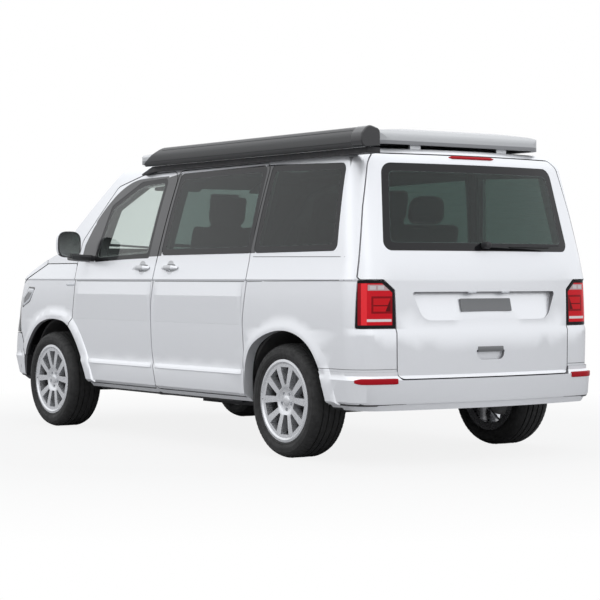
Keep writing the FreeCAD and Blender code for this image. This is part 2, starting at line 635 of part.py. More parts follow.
# ---------------------------------------------------------------- pop-up roof with bellows, awning
popup_half = dim("popup_width") / 2
popup_low = roof + 22
POPUP = [(-2097, -670, 130), (-2097, 670, 130), (540, popup_half - 10, 120), (690, popup_half - 130, 200),
         (690, -popup_half + 130, 200), (540, -popup_half + 10, 120)]
crown = dim("roof_top") - popup_low
popup_outer = plan_prism(POPUP, popup_low, popup_low + crown + 10)
dome_side = [(popup_half + 5, popup_low - 5, 0), (popup_half - 4, popup_low + 48, 60),
             (popup_half - 120, dim("roof_top") - 20, 160), (popup_half - 420, dim("roof_top") + 2, 900)]
dome = end_prism([(-y, z, radius) for y, z, radius in dome_side] + dome_side[::-1], -2200, 900)
nose_down = side_prism([(-2105, popup_low - 5, 0), (-2084, popup_low + 62, 50), (-1990, dim("roof_top"), 300),
                        (180, dim("roof_top"), 900), (640, popup_low + 62, 100), (735, popup_low + 14, 60),
                        (735, popup_low - 5, 0)], -900, 900)
popup_outer = popup_outer.common(dome).common(nose_down)
popup_hollow = plan_prism(grown(POPUP, -34), popup_low - 5, popup_low + 62).common(box(-2200, 500, -900, 900, 0, 3000))
popup_roof = popup_outer.cut([popup_hollow] + sockets)
bellows = plan_prism([(-1810, -560, 60), (-1810, 560, 60), (420, 560, 60), (420, -560, 60)],
                     roof + 2, popup_low + 58).cut(
    plan_prism([(-1785, -535, 45), (-1785, 535, 45), (395, 535, 45), (395, -535, 45)], roof - 10, popup_low + 70))

awning_y = half - 8
case_low = roof - 18
case = [(awning_y - dim("awning_depth"), case_low + 6, 14), (awning_y - dim("awning_depth"), case_low + 98, 30),
        (awning_y - 46, case_low + dim("awning_height") + 6, 60), (awning_y, case_low + 72, 40),
        (awning_y, case_low + 16, 30), (awning_y - 26, case_low - 4, 20)]
case_side = [(-2600, case_low - 40, 0), (-2600, case_low + 200, 0), (-140, case_low + 200, 0),
             (-96, case_low + dim("awning_height") + 8, 130), (124, case_low + 6, 20), (124, case_low - 40, 0)]
awning_case = end_prism(case, -2325, 130).common(side_prism(case_side, 700, 1000))
RAIL = [(-2288, roof - 52, 0), (-2288, roof - 19, 0), (118, roof - 19, 60), (262, roof - 66, 10), (252, roof - 74, 10),
        (110, roof - 54, 60)]
awning_rail = side_prism(RAIL, 780, 872).cut(OUTER)

# ---------------------------------------------------------------- wheels
tyre_r = dim("tyre_radius")
rim_r = dim("rim_radius")


def turned(points, smooth=()):
    """A ring about the Y axis from a half section of (radius, y) points."""
    edges = []
    count = len(points)
    i = 0
    placed = [Vector(r, y, 0) for r, y in points]
    while i < count:
        if i in smooth:
            edges.append(arc(placed[i], placed[i + 1], placed[(i + 2) % count]))
            i += 2
        else:
            edges.append(line(placed[i], placed[(i + 1) % count]))
            i += 1
    return Part.Face(Part.Wire(edges)).revolve(Vector(0, 0, 0), Vector(0, 1, 0), 360)


def plane_of(body, role):
    return [item for item in body.Origin.OriginFeatures if item.Role == role][0]


def sketched(body, name, role, corners, offset=None):
    """A closed sketch in one of the body's own planes; each corner is a pair of expressions."""
    drawing = body.newObject("Sketcher::SketchObject", name)
    drawing.AttachmentSupport = [(plane_of(body, role), "")]
    drawing.MapMode = "FlatFace"
    if offset:
        drawing.setExpression("AttachmentOffset.Base.z", bound(offset))
    values = [(float(sheet.evalExpression(bound(u))), float(sheet.evalExpression(bound(v)))) for u, v in corners]
    count = len(corners)
    for i in range(count):
        a, b = values[i], values[(i + 1) % count]
        drawing.addGeometry(Part.LineSegment(Vector(a[0], a[1], 0), Vector(b[0], b[1], 0)), False)
    for i in range(count):
        drawing.addConstraint(Sketcher.Constraint("Coincident", i, 2, (i + 1) % count, 1))
    for i, (u, v) in enumerate(corners):
        for kind, text, value in (("DistanceX", u, values[i][0]), ("DistanceY", v, values[i][1])):
            index = drawing.addConstraint(Sketcher.Constraint(kind, -1, 1, i, 1, value))
            drawing.setExpression("Constraints[%d]" % index, bound(text))
    return drawing


def turned_body(name, corners, axle, side):
    """A PartDesign body turned about its Y axis from a half section, on its own wheel axis."""
    body = doc.addObject("PartDesign::Body", name)
    body.Label = name
    section = sketched(body, name + "_section", "XY_Plane", corners)
    turn = body.newObject("PartDesign::Revolution", name + "_turned")
    turn.Profile = section
    turn.ReferenceAxis = (section, ["V_Axis"])
    turn.Angle = 360
    if side < 0:
        body.Placement = FreeCAD.Placement(Vector(0, 0, 0), FreeCAD.Rotation(Vector(0, 0, 1), 180))
    along = "body_length / 2 - front_overhang" + ("" if axle == "front" else " - wheelbase")
    body.setExpression("Placement.Base.x", bound(along))
    body.setExpression("Placement.Base.y", bound("%d * track / 2" % side))
    body.setExpression("Placement.Base.z", bound("tyre_radius"))
    PIECES.append(body)
    return body


def pocketed(body, name, corners, depth):
    """Windows cut into the face of a wheel, five times round its axis."""
    drawing = sketched(body, name + "_outline", "XZ_Plane", corners, "-rim_width / 2 - 8")
    pocket = body.newObject("PartDesign::Pocket", name)
    pocket.Profile = drawing
    pocket.Length = depth
    pocket.Reversed = True
    pattern = body.newObject("PartDesign::PolarPattern", name + "_round")
    pattern.Originals = [pocket]
    pattern.Axis = ([item for item in body.Origin.OriginFeatures if item.Role == "Y_Axis"][0], [""])
    pattern.Angle = 360
    pattern.Occurrences = 5
    body.Tip = pattern


TYRE_SECTION = [
    ("rim_radius - 20", "rim_width / 2 - 14"), ("rim_radius + 6", "rim_width / 2 - 6"),
    ("rim_radius + 22", "tyre_width / 2 - 4"), ("rim_radius + 44", "tyre_width / 2"),
    ("tyre_radius - 30", "tyre_width / 2 - 5"), ("tyre_radius - 14", "tyre_width / 2 - 14"),
    ("tyre_radius - 4", "tyre_width / 2 - 30"), ("tyre_radius", "tyre_width / 2 - 62")]
TYRE_SECTION = TYRE_SECTION + [(r, "-(%s)" % y) for r, y in reversed(TYRE_SECTION)]
WHEEL_SECTION = [
    ("0", "rim_width / 2 - 22"), ("66", "rim_width / 2 - 22"), ("84", "rim_width / 2 - 14"),
    ("150", "rim_width / 2 - 9"), ("rim_radius - 26", "rim_width / 2 - 6"), ("rim_radius - 15", "rim_width / 2 + 2"),
    ("rim_radius", "rim_width / 2"), ("rim_radius", "rim_width / 2 - 5"), ("rim_radius - 21", "rim_width / 2 - 13"),
    ("rim_radius - 24", "0"), ("rim_radius - 21", "-rim_width / 2 + 14"), ("rim_radius", "-rim_width / 2 + 5"),
    ("rim_radius", "-rim_width / 2"), ("rim_radius - 46", "-rim_width / 2 + 8"),
    ("rim_radius - 38", "rim_width / 2 - 52"), ("150", "rim_width / 2 - 56"), ("84", "rim_width / 2 - 70"),
    ("0", "rim_width / 2 - 70")]
DISC_SECTION = [("0", "32"), ("0", "42"), ("66", "42"), ("66", "12"), ("brake_radius", "12"), ("brake_radius", "-12"),
                ("80", "-12"), ("80", "4"), ("56", "4"), ("56", "32")]


def spread(corners, degrees):
    """Window corners turned about the wheel's axis, as text for a sketch."""
    c, s = math.cos(math.radians(degrees)), math.sin(math.radians(degrees))
    return [("%.3f" % (u * c - v * s), "%.3f" % (u * s + v * c)) for u, v in corners]


# Ten spokes stand in five pairs: a slim window inside each pair, a wider one between two pairs.
PAIR_WINDOW = [(100, -8), (204, -43), (204, 43), (100, 8)]
WIDE_WINDOW = [(87, -18), (204, -42), (204, 42), (87, 18)]
BOLT_HOLE = [(42, -7), (48, -11), (56, -11), (61, -6), (61, 6), (56, 11), (48, 11), (42, 7)]


def at_wheel(shape, x, side):
    placed = shape.copy() if side > 0 else mirrored(shape)
    placed.translate(Vector(x, side * wheel_y, axle_z))
    return placed


kingpin = wheel_y - dim("kingpin_inset")
# The upright that turns: hub, brake caliper and steering arm.
upright = Part.makeCylinder(48, 92, Vector(0, -110, 0), Vector(0, 1, 0))
upright = upright.fuse([box(-34, 34, -110, -60, -150, 190), box(-150, -30, -105, -75, -20, 10)])
caliper = box(112, 178, -52, 42, -58, 58).cut(turned([(0, -20), (dim("brake_radius") + 8, -20),
                                                     (dim("brake_radius") + 8, 20), (0, 20)]))
upright = upright.fuse([caliper, box(30, 150, -80, -52, -30, 30),
                        Part.makeCylinder(24, 350, Vector(0, -dim("kingpin_inset"), -155), Vector(0, 0, 1))]).removeSplitter()

# ---------------------------------------------------------------- axles
# Front cross-member with a wishbone each side, which ends short of the turning upright.
wishbone = [(front_axle - 170, 250, 0), (front_axle - 150, 330, 60), (front_axle - 34, 640, 60), (front_axle - 30, 680, 25),
            (front_axle + 30, 680, 25), (front_axle + 36, 620, 60), (front_axle + 90, 330, 60), (front_axle + 110, 250, 0)]
cross_member = [(front_axle - 190, -300, 40), (front_axle - 190, 300, 40), (front_axle + 150, 330, 40),
                (front_axle + 150, -330, 40)]
subframe = plan_prism(cross_member, 282, 352).fuse([plan_prism(wishbone, 258, 288), mirrored(plan_prism(wishbone, 258, 288))])
rear_frame = box(rear_axle - 40, rear_axle + 260, -340, 340, 262, 318)
arm = box(rear_axle - 40, rear_axle + 280, 330, 560, 262, 318).fuse([
    Part.makeCylinder(50, 226, Vector(rear_axle, 500, axle_z), Vector(0, 1, 0)),
    box(rear_axle - 60, rear_axle + 60, 500, 560, 262, 395),
    Part.makeCylinder(48, 126, Vector(rear_axle + 150, 500, 270), Vector(0, 0, 1))])
rear_caliper = at_wheel(caliper.fuse(box(30, 150, -100, -52, -30, 30)), rear_axle, 1)
rear_hub = arm.fuse(rear_caliper)
rear_axle_frame = rear_frame.fuse([rear_hub, mirrored(rear_hub)]).removeSplitter()
front_subframe = subframe.removeSplitter()

# ---------------------------------------------------------------- exhaust and underside
exhaust = Part.makeCylinder(28, 2370, Vector(-1180, -180, 300), Vector(1, 0, 0)).fuse([
    box(-850, -250, -300, -110, 250, 340)]).removeSplitter()

# ---------------------------------------------------------------- cabin
dash = box(well_front - 96, well_front - 6, -820, 820, 760, 1120).fuse(
    box(well_front - 296, well_front - 96, -820, 820, 860, 1130))
dash = dash.common(INNER)
dash = dash.cut(box(700, 1200, -far, far, 1135, 1300))
column_axis = Vector(-0.9, 0, 0.43)
steering_at = Vector(573, 420, 1075)
steering = Part.makeTorus(186, 16, steering_at, column_axis).fuse([
    Part.makeCylinder(52, 40, steering_at - column_axis * 34, column_axis),
    Part.makeCylinder(24, 190, steering_at - column_axis * 30, column_axis * -1)])
spoke_bar = Part.makeCylinder(12, 356, steering_at + Vector(0, -178, -3), Vector(0, 1, 0))
steering = steering.fuse(spoke_bar).removeSplitter()
dash = dash.cut(Part.makeCylinder(27, 300, steering_at + column_axis * 20, column_axis * -1))


def seat(x, y, width):
    base = side_prism([(x - 250, floor_top, 20), (x - 250, floor_top + 262, 20), (x + 200, floor_top + 280, 20),
                       (x + 200, floor_top, 20)], y - width / 2 + 40, y + width / 2 - 40)
    cushion = side_prism([(x - 280, floor_top + 230, 30), (x - 260, floor_top + 350, 50), (x + 270, floor_top + 390, 60),
                          (x + 280, floor_top + 260, 50)], y - width / 2, y + width / 2)
    back = side_prism([(x - 290, floor_top + 300, 40), (x - 440, floor_top + 950, 40), (x - 330, floor_top + 970, 50),
                       (x - 160, floor_top + 330, 40)], y - width / 2, y + width / 2)
    rest = side_prism([(x - 440, floor_top + 985, 30), (x - 470, floor_top + 1170, 30), (x - 380, floor_top + 1170, 30),
                       (x - 350, floor_top + 985, 30)], y - 130, y + 130)
    stalk = side_prism([(x - 415, floor_top + 900, 0), (x - 430, floor_top + 1030, 0), (x - 390, floor_top + 1030, 0),
                        (x - 375, floor_top + 900, 0)], y - 60, y + 60)
    return base.fuse([cushion, back, rest, stalk]).removeSplitter()


seat_left = seat(270, 430, 500)
bench = seat(-1147, 150, 1150).cut(box(-2000, 0, 560, far, 0, 900))
cabinet = box(-2180, -387, -850, -470, floor_top, 1180).common(INNER).cut([mirrored(rear_shell)])

# ---------------------------------------------------------------- mirrors, wiper, small lamps
mirror = side_prism([(893, 1200, 45), (876, 1330, 400), (884, 1418, 55), (950, 1424, 70), (1004, 1310, 90),
                     (1000, 1205, 45)], half + 26, dim("mirror_span") / 2)
mirror = mirror.fuse(side_prism([(900, 1202, 12), (912, 1252, 20), (985, 1252, 20), (1004, 1202, 12)], 860, half + 34))
mirror = mirror.cut(OUTER).removeSplitter()
wiper = Part.makeCylinder(20, 44, Vector(-2352, 16, 1286), Vector(1, 0, 0)).fuse([
    end_prism([(16, 1276, 6), (16, 1294, 6), (-270, 1288, 4), (-270, 1279, 4)], -2350, -2340),
    end_prism([(-250, 1279, 3), (-250, 1288, 3), (-560, 1290, 3), (-560, 1281, 3)], -2346, -2334)])
wiper = wiper.cut(OUTER)

keep("body_side_left", body_side_left)
keep("body_side_right", body_side_right)
keep("roof_frame", roof_frame)
keep("floor_pan", floor_pan)
keep("front_frame", front_frame)
keep("wing_left", wing_left)
keep("wing_right", mirrored(wing_left))
keep("cowl_panel", cowl_panel)
keep("bonnet", bonnet)
keep("grille", grille)
keep("front_bumper", front_bumper)
keep("rear_bumper", rear_bumper)
keep("headlamps", Part.makeCompound([headlamp_left, mirrored(headlamp_left)]))
keep("tail_lamps", Part.makeCompound([tail_lamp_left, mirrored(tail_lamp_left)]))
keep("front_door_left", front_door_left)
keep("front_door_right", mirrored(front_door_left))
keep("sliding_door_left", sliding_door_left)
keep("tailgate", tailgate)
keep("windscreen", windscreen)
keep("front_door_glass_left", front_glass)
keep("front_door_glass_right", mirrored(front_glass))
keep("sliding_door_glass", sliding_glass)
keep("side_window_right", mirrored(sliding_glass))
keep("quarter_windows", Part.makeCompound([quarter_glass, mirrored(quarter_glass)]))
keep("tailgate_glass", tailgate_glass)
keep("rear_wiper", wiper)
keep("door_mirror_left", mirror)
keep("door_mirror_right", mirrored(mirror))
keep("popup_roof", popup_roof)
keep("roof_bellows", bellows)
keep("awning_case", awning_case)
keep("awning_rail", awning_rail)
for axle in ("front", "rear"):
    for side, sign in (("left", 1), ("right", -1)):
        label = "%s_%s" % (axle, side)
        turned_body("tyre_" + label, TYRE_SECTION, axle, sign)
        wheel = turned_body("wheel_" + label, WHEEL_SECTION, axle, sign)
        pocketed(wheel, "pair_windows_" + label, spread(PAIR_WINDOW, 90), 84)
        pocketed(wheel, "wide_windows_" + label, spread(WIDE_WINDOW, 126), 84)
        pocketed(wheel, "bolt_holes_" + label, spread(BOLT_HOLE, 90 + 36), 44)
        turned_body("brake_disc_" + label, DISC_SECTION, axle, sign)
keep("knuckle_left", at_wheel(upright, front_axle, 1))
keep("knuckle_right", at_wheel(upright, front_axle, -1))
keep("front_axle_frame", front_subframe)
keep("rear_axle_frame", rear_axle_frame)
blocked("engine_block", "body_length / 2 - 1120", "-330", "floor_under + 25", "640", "660", "540")
keep("exhaust", exhaust)
blocked("water_tank", "body_length / 2 - 3312", "130", "230", "1200", "240", "floor_under - 65 - 230")
keep("dashboard", dash)
keep("steering_wheel", steering)
keep("driver_seat", seat_left)
keep("passenger_seat", mirrored(seat_left))
keep("rear_bench", bench)
keep("kitchen_cabinet", cabinet)

# ---------------------------------------------------------------- checks and export
doc.recompute()
for thing in doc.Objects:
    if "Invalid" in thing.State or "Error" in thing.State:
        raise RuntimeError("%s did not recompute: %s" % (thing.Label, thing.State))
os.makedirs("parts", exist_ok=True)
for piece in PIECES:
    shape = piece.Shape
    if shape.isNull() or not shape.isValid():
        raise RuntimeError("%s is not a valid shape" % piece.Label)
    if len(shape.Solids) != 1:
        print("note: %s has %d solids" % (piece.Label, len(shape.Solids)))
    shape.exportStep(os.path.join("parts", piece.Label + ".step"))
print("%d pieces" % len(PIECES))
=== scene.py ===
# %% [markdown]
# # A camper van, dressed in Blender
#
# The solids of the van come from a imported frame, already in place: body sides, doors, glass, wheels, seats.
# This notebook gives them finishes and adds what is too fine or too soft for solids: tyre tread, wheel
# bolts, lamp optics, handles, trim strips, padding and the pleated cloth under the pop-up roof. Everything
# is in metres. X points forwards, Y to the van's left and Z up, and every new piece but the pleated cloth
# rides on one of the frame's moving bodies.

# %% Load the frame
import json
import math

import bmesh
import bpy
from mathutils import Matrix, Vector
from mathutils.bvhtree import BVHTree

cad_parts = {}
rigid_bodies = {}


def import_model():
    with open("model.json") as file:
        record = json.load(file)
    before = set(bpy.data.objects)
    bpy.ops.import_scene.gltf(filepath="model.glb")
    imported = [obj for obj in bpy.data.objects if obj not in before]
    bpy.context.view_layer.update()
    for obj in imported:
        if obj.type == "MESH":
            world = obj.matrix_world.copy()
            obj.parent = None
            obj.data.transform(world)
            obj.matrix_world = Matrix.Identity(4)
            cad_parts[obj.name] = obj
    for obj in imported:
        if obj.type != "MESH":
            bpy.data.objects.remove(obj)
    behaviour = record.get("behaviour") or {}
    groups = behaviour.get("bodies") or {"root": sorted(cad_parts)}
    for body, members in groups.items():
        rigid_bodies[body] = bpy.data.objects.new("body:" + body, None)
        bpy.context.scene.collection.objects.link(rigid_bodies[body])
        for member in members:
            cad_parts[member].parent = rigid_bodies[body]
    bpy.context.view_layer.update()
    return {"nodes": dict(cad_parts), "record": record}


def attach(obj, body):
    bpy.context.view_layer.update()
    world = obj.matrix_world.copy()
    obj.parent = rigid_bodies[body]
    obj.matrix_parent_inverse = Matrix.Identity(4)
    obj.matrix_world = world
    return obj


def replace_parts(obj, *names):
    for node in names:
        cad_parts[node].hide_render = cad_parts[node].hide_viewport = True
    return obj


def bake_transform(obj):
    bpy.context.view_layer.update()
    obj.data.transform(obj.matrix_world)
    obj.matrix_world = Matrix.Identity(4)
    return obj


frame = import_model()
nodes = frame["nodes"]

# %% [markdown]
# ## Smooth curved panels without touching the solids
#
# The solids arrive as loose triangles, so a pressed panel would look like a gem. The meshes must stay as
# they are, but a modifier may finish them. A small Geometry Nodes tree welds the triangles and shades them
# smooth, except across edges sharper than a chosen angle, which stay crisp like a folded sheet.

# %% A modifier that welds and smooths
def smoothing_tree():
    tree = bpy.data.node_groups.new("WeldAndSmooth", "GeometryNodeTree")
    tree.interface.new_socket("Geometry", in_out="INPUT", socket_type="NodeSocketGeometry")
    tree.interface.new_socket("Sharp angle", in_out="INPUT",
                              socket_type="NodeSocketFloat").default_value = 0.55
    tree.interface.new_socket("Geometry", in_out="OUTPUT", socket_type="NodeSocketGeometry")
    start = tree.nodes.new("NodeGroupInput")
    end = tree.nodes.new("NodeGroupOutput")
    merge = tree.nodes.new("GeometryNodeMergeByDistance")
    merge.inputs["Distance"].default_value = 0.00002
    smooth = tree.nodes.new("GeometryNodeSetShadeSmooth")
    smooth.domain = "FACE"
    sharp = tree.nodes.new("GeometryNodeSetShadeSmooth")
    sharp.domain = "EDGE"
    sharp.inputs["Shade Smooth"].default_value = False
    angle = tree.nodes.new("GeometryNodeInputMeshEdgeAngle")
    over = tree.nodes.new("FunctionNodeCompare")
    link = tree.links.new
    link(start.outputs["Geometry"], merge.inputs["Geometry"])
    link(merge.outputs["Geometry"], smooth.inputs["Geometry"])
    link(smooth.outputs["Geometry"], sharp.inputs["Geometry"])
    link(angle.outputs["Unsigned Angle"], over.inputs[0])
    link(start.outputs["Sharp angle"], over.inputs[1])
    link(over.outputs["Result"], sharp.inputs["Selection"])
    link(sharp.outputs["Geometry"], end.inputs["Geometry"])
    return tree


WELD = smoothing_tree()


def smooth_panel(obj, angle=0.42):
    modifier = obj.modifiers.new("weld and smooth", "NODES")
    modifier.node_group = WELD
    for item in WELD.interface.items_tree:
        if item.name == "Sharp angle":
            modifier[item.identifier] = angle


for node in nodes.values():
    smooth_panel(node)
print("smoothed", len(nodes), "solids")

# %% [markdown]
# ## Finishes
#
# Each finish is a small node tree on one Principled shader, placed by Object coordinates so that it stays
# on the van in any view. Three kinds of helper build them: noise for variation, distances to an outline for
# painted borders, and mixers that carry a mask into colour, roughness or transparency.

# %% Materials and sums of nodes
def finish(name, colour, roughness=0.5, metallic=0.0, coat=0.0):
    """A named material and its Principled shader."""
    material = bpy.data.materials.new(name)
    material.use_nodes = True
    shader = material.node_tree.nodes["Principled BSDF"]
    shader.inputs["Base Color"].default_value = (*colour, 1)
    shader.inputs["Roughness"].default_value = roughness
    shader.inputs["Metallic"].default_value = metallic
    shader.inputs["Coat Weight"].default_value = coat
    shader.inputs["Coat Roughness"].default_value = 0.05
    return material, shader


def plug(material, source, socket):
    """A number or colour goes onto a socket, an output is linked to it."""
    if hasattr(source, "is_output"):
        material.node_tree.links.new(source, socket)
    else:
        socket.default_value = source


def maths(material, operation, *values):
    node = material.node_tree.nodes.new("ShaderNodeMath")
    node.operation = operation
    for i, value in enumerate(values):
        plug(material, value, node.inputs[i])
    return node.outputs[0]


def product(material, *values):
    """Values or masks multiplied together."""
    result = values[0]
    for value in values[1:]:
        result = maths(material, "MULTIPLY", result, value)
    return result


print("helpers for materials")

# %% [markdown]
# Two sources feed the masks: the place of a point on the piece, split into X, Y and Z, and noise, which can
# be stretched in one direction for a grain. Both are read from Object coordinates. A third helper stretches
# a range of values to another range, and that is how a distance becomes a mask with a soft border.

# %% Places, noise and ranges
def place_on(material, output="Object"):
    """The X, Y and Z outputs of a point, or of a normal, in the piece's own coordinates."""
    coords = material.node_tree.nodes.new("ShaderNodeTexCoord")
    split = material.node_tree.nodes.new("ShaderNodeSeparateXYZ")
    material.node_tree.links.new(coords.outputs[output], split.inputs[0])
    return split.outputs


def noise(material, scale, detail=2.0, stretch=(1, 1, 1)):
    tree = material.node_tree
    coords = tree.nodes.new("ShaderNodeTexCoord")
    place = tree.nodes.new("ShaderNodeMapping")
    place.inputs["Scale"].default_value = stretch
    texture = tree.nodes.new("ShaderNodeTexNoise")
    texture.inputs["Scale"].default_value = scale
    texture.inputs["Detail"].default_value = detail
    tree.links.new(coords.outputs["Object"], place.inputs["Vector"])
    tree.links.new(place.outputs["Vector"], texture.inputs["Vector"])
    return texture.outputs["Fac"]


def stretched(material, value, low, high, to_low=0.0, to_high=1.0):
    """A value from low to high becomes to_low to to_high, and stays within them."""
    node = material.node_tree.nodes.new("ShaderNodeMapRange")
    for name, number in (("From Min", low), ("From Max", high), ("To Min", to_low), ("To Max", to_high)):
        node.inputs[name].default_value = number
    plug(material, value, node.inputs["Value"])
    return node.outputs["Result"]


print("helpers for places and noise")

# %% [markdown]
# A mask then chooses between two colours or two numbers. The same few sums make a colour wander, a
# roughness vary and a surface look grained, so each gets a helper of its own.

# %% Mixing by a mask
def mixed(material, mask, low, high, kind="RGBA"):
    """low where the mask is 0 and high where it is 1: colours or numbers, or outputs of other nodes."""
    node = material.node_tree.nodes.new("ShaderNodeMix")
    node.data_type = kind
    shift = {"FLOAT": 0, "RGBA": 4}[kind]
    plug(material, mask, node.inputs[0])
    for value, socket in ((low, node.inputs[2 + shift]), (high, node.inputs[3 + shift])):
        plug(material, value if hasattr(value, "is_output") or kind == "FLOAT" else (*value, 1), socket)
    return node.outputs[{"FLOAT": 0, "RGBA": 2}[kind]]


def tinted_by(material, shader, mask, low, high):
    """Colour that wanders between two tones with a mask."""
    colour = mixed(material, stretched(material, mask, 0.3, 0.7), low, high)
    plug(material, colour, shader.inputs["Base Color"])
    return colour


def rough_by(material, shader, mask, low, high):
    plug(material, stretched(material, mask, 0.3, 0.7, low, high), shader.inputs["Roughness"])


def bumped(material, shader, height, strength, distance):
    bump = material.node_tree.nodes.new("ShaderNodeBump")
    bump.inputs["Strength"].default_value = strength
    bump.inputs["Distance"].default_value = distance
    plug(material, height, bump.inputs["Height"])
    plug(material, bump.outputs["Normal"], shader.inputs["Normal"])


print("helpers for mixing")

# %% [markdown]
# A painted border follows the outline of a window or a lamp. The distance to a convex outline is the
# largest of the distances to its sides, and a smooth maximum rounds its corners. An image could hold the
# border too, but a distance stays sharp however near the camera comes.

# %% Outlines as masks
def outside_of(material, corners, u, v, rounding=0.03):
    """The distance to a convex outline of (u, v) corners: above 0 outside it, below 0 inside."""
    count = len(corners)
    area = sum(corners[i - 1][0] * corners[i][1] - corners[i][0] * corners[i - 1][1] for i in range(count))
    side = 1 if area > 0 else -1
    far = None
    for i in range(count):
        (au, av), (bu, bv) = corners[i - 1], corners[i]
        length = math.hypot(bu - au, bv - av)
        nu, nv = side * (bv - av) / length, -side * (bu - au) / length
        across = maths(material, "MULTIPLY_ADD", u, nu, -(nu * au + nv * av))
        across = maths(material, "MULTIPLY_ADD", v, nv, across)
        far = across if far is None else maths(material, "SMOOTH_MAX", far, across, rounding)
    return far


def within(material, corners, u, v, margin=0.0, rounding=0.03, soft=0.0015):
    """1 inside an outline moved inwards by margin, and 0 outside it."""
    return stretched(material, outside_of(material, corners, u, v, rounding), -margin - soft, -margin + soft,
                     1.0, 0.0)


def most(material, *masks):
    """1 wherever any of the masks is."""
    joined = masks[0]
    for mask in masks[1:]:
        joined = maths(material, "MAXIMUM", joined, mask)
    return joined


print("helpers for outlines")

# %% [markdown]
# ### Paint
#
# The body is a pale pearl paint under a clear coat, with fine mica in it. Two ways could give a panel its
# black and grey parts: cutting the mesh into pieces with materials of their own, or masks in one material.
# Masks are chosen, because the borders then stay sharp at any mesh density. Each mask is an outline of (x,
# z) corners, seen from the side, or a band of heights.

# %% Pearl paint: the gloss black around the side windows
FRONT_AXLE, REAR_AXLE = 1.477, -1.523
B_PILLAR = [(0.078, 1.232), (-0.060, 1.764), (-0.228, 1.785), (-0.092, 1.236)]
C_PILLAR = [(-1.150, 1.244), (-1.218, 1.789), (-1.306, 1.789), (-1.212, 1.244)]
CORNER_PIECE = [(0.850, 1.204), (0.850, 1.490), (0.905, 1.450), (1.012, 1.318), (1.043, 1.214)]
WINDOW_FRAME = [(0.072, 1.222), (-0.064, 1.772), (0.339, 1.768), (0.467, 1.742), (0.610, 1.684),
                (0.775, 1.576), (0.878, 1.486), (0.890, 1.210)]
paint, shader = finish("PearlPaint", (0.80, 0.81, 0.84), 0.36, 0.5, 0.5)
px, py, pz = place_on(paint)
nx, ny, nz = place_on(paint, "Normal")
aside = maths(paint, "ABSOLUTE", py)
on_side = stretched(paint, aside, 0.70, 0.72)
frames = [within(paint, corners, px, pz, 0, rounding) for corners, rounding in
          ((B_PILLAR, 0.006), (C_PILLAR, 0.006), (CORNER_PIECE, 0.006), (WINDOW_FRAME, 0.02))]
pillars = product(paint, most(paint, *frames), on_side)
print(len(frames), "black fields on each side")

# %% [markdown]
# The wheel housings have a black coat: what lies near an axle, below the arch and behind the skin. Inwards
# every panel is lined in grey. A face points inwards where its normal turns against the direction away from
# the middle of the van, and the window openings' inner faces, which point along the van, are found by their
# depth behind the skin.

# %% Pearl paint: wheel housings, lining and painted shade in the cup behind each handle
near_axle = []
for axle in (FRONT_AXLE, REAR_AXLE):
    away = maths(paint, "ABSOLUTE", maths(paint, "SUBTRACT", px, axle))
    near_axle.append(stretched(paint, away, 0.55, 0.56, 1.0, 0.0))
wells = product(paint, most(paint, *near_axle), stretched(paint, pz, 0.81, 0.82, 1.0, 0.0),
                stretched(paint, aside, 0.893, 0.896, 1.0, 0.0))
black = most(paint, pillars, wells)
facing = maths(paint, "MULTIPLY_ADD", product(paint, px, nx), 0.4, product(paint, py, ny))
facing = maths(paint, "MULTIPLY_ADD", maths(paint, "SUBTRACT", pz, 0.9), nz, facing)
OPENINGS = [(-2.06, 1.19), (0.62, 1.19), (0.62, 1.80), (-2.06, 1.80)]
LEAN, SKIN_AT_FLOOR = 0.155, 1.093
behind_skin = maths(paint, "MULTIPLY_ADD", pz, LEAN, maths(paint, "SUBTRACT", aside, SKIN_AT_FLOOR))
reveals = product(paint, stretched(paint, behind_skin, -0.001, 0.001, 1.0, 0.0),
                  within(paint, OPENINGS, px, pz, 0, 0.004), on_side)
lining = most(paint, stretched(paint, facing, -0.06, -0.04, 1.0, 0.0), reveals)


def cup(x):
    """The outline of the painted shade in the cup behind a handle."""
    right = [(0.020, 1.112), (0.046, 1.140), (0.046, 1.180), (0.022, 1.204)]
    return [(x + u, z) for u, z in right] + [(x - u, z) for u, z in reversed(right)]


# Painted shade: the paint darkens in and round the cup behind each handle, more towards its top.
painted_cup_shade = most(paint, *[within(paint, cup(x), px, pz, 0, 0.02, 0.004) for x in (0.146, -0.224)])
painted_cup_shade = product(paint, painted_cup_shade, stretched(paint, pz, 1.12, 1.20, 0.35, 0.75))
print("housings, lining and cups")

# %% [markdown]
# The masks now go on like coats of paint, one over another: pearl, then painted shade in the cup behind
# each handle, then lining, then black. Black and lined parts lose the metal flakes, so they look like plain
# plastic and felt.

# %% Pearl paint: colour, roughness, coat and metal flakes
base = tinted_by(paint, shader, noise(paint, 900, 1), (0.765, 0.78, 0.805), (0.805, 0.817, 0.84))
# Painted shade over the pearl: dark grey in the recess behind each handle.
base = mixed(paint, painted_cup_shade, base, (0.30, 0.305, 0.315))
base = mixed(paint, lining, base, (0.18, 0.18, 0.19))
plug(paint, mixed(paint, black, base, (0.012, 0.012, 0.014)), shader.inputs["Base Color"])
rough = mixed(paint, lining, 0.34, 0.8, "FLOAT")
rough = mixed(paint, pillars, rough, 0.16, "FLOAT")
plug(paint, mixed(paint, wells, rough, 0.8, "FLOAT"), shader.inputs["Roughness"])
plug(paint, mixed(paint, most(paint, lining, wells), 0.5, 0.0, "FLOAT"), shader.inputs["Coat Weight"])
plug(paint, mixed(paint, most(paint, lining, black), 0.5, 0.0, "FLOAT"), shader.inputs["Metallic"])
print("pearl paint with", len(paint.node_tree.nodes), "nodes")
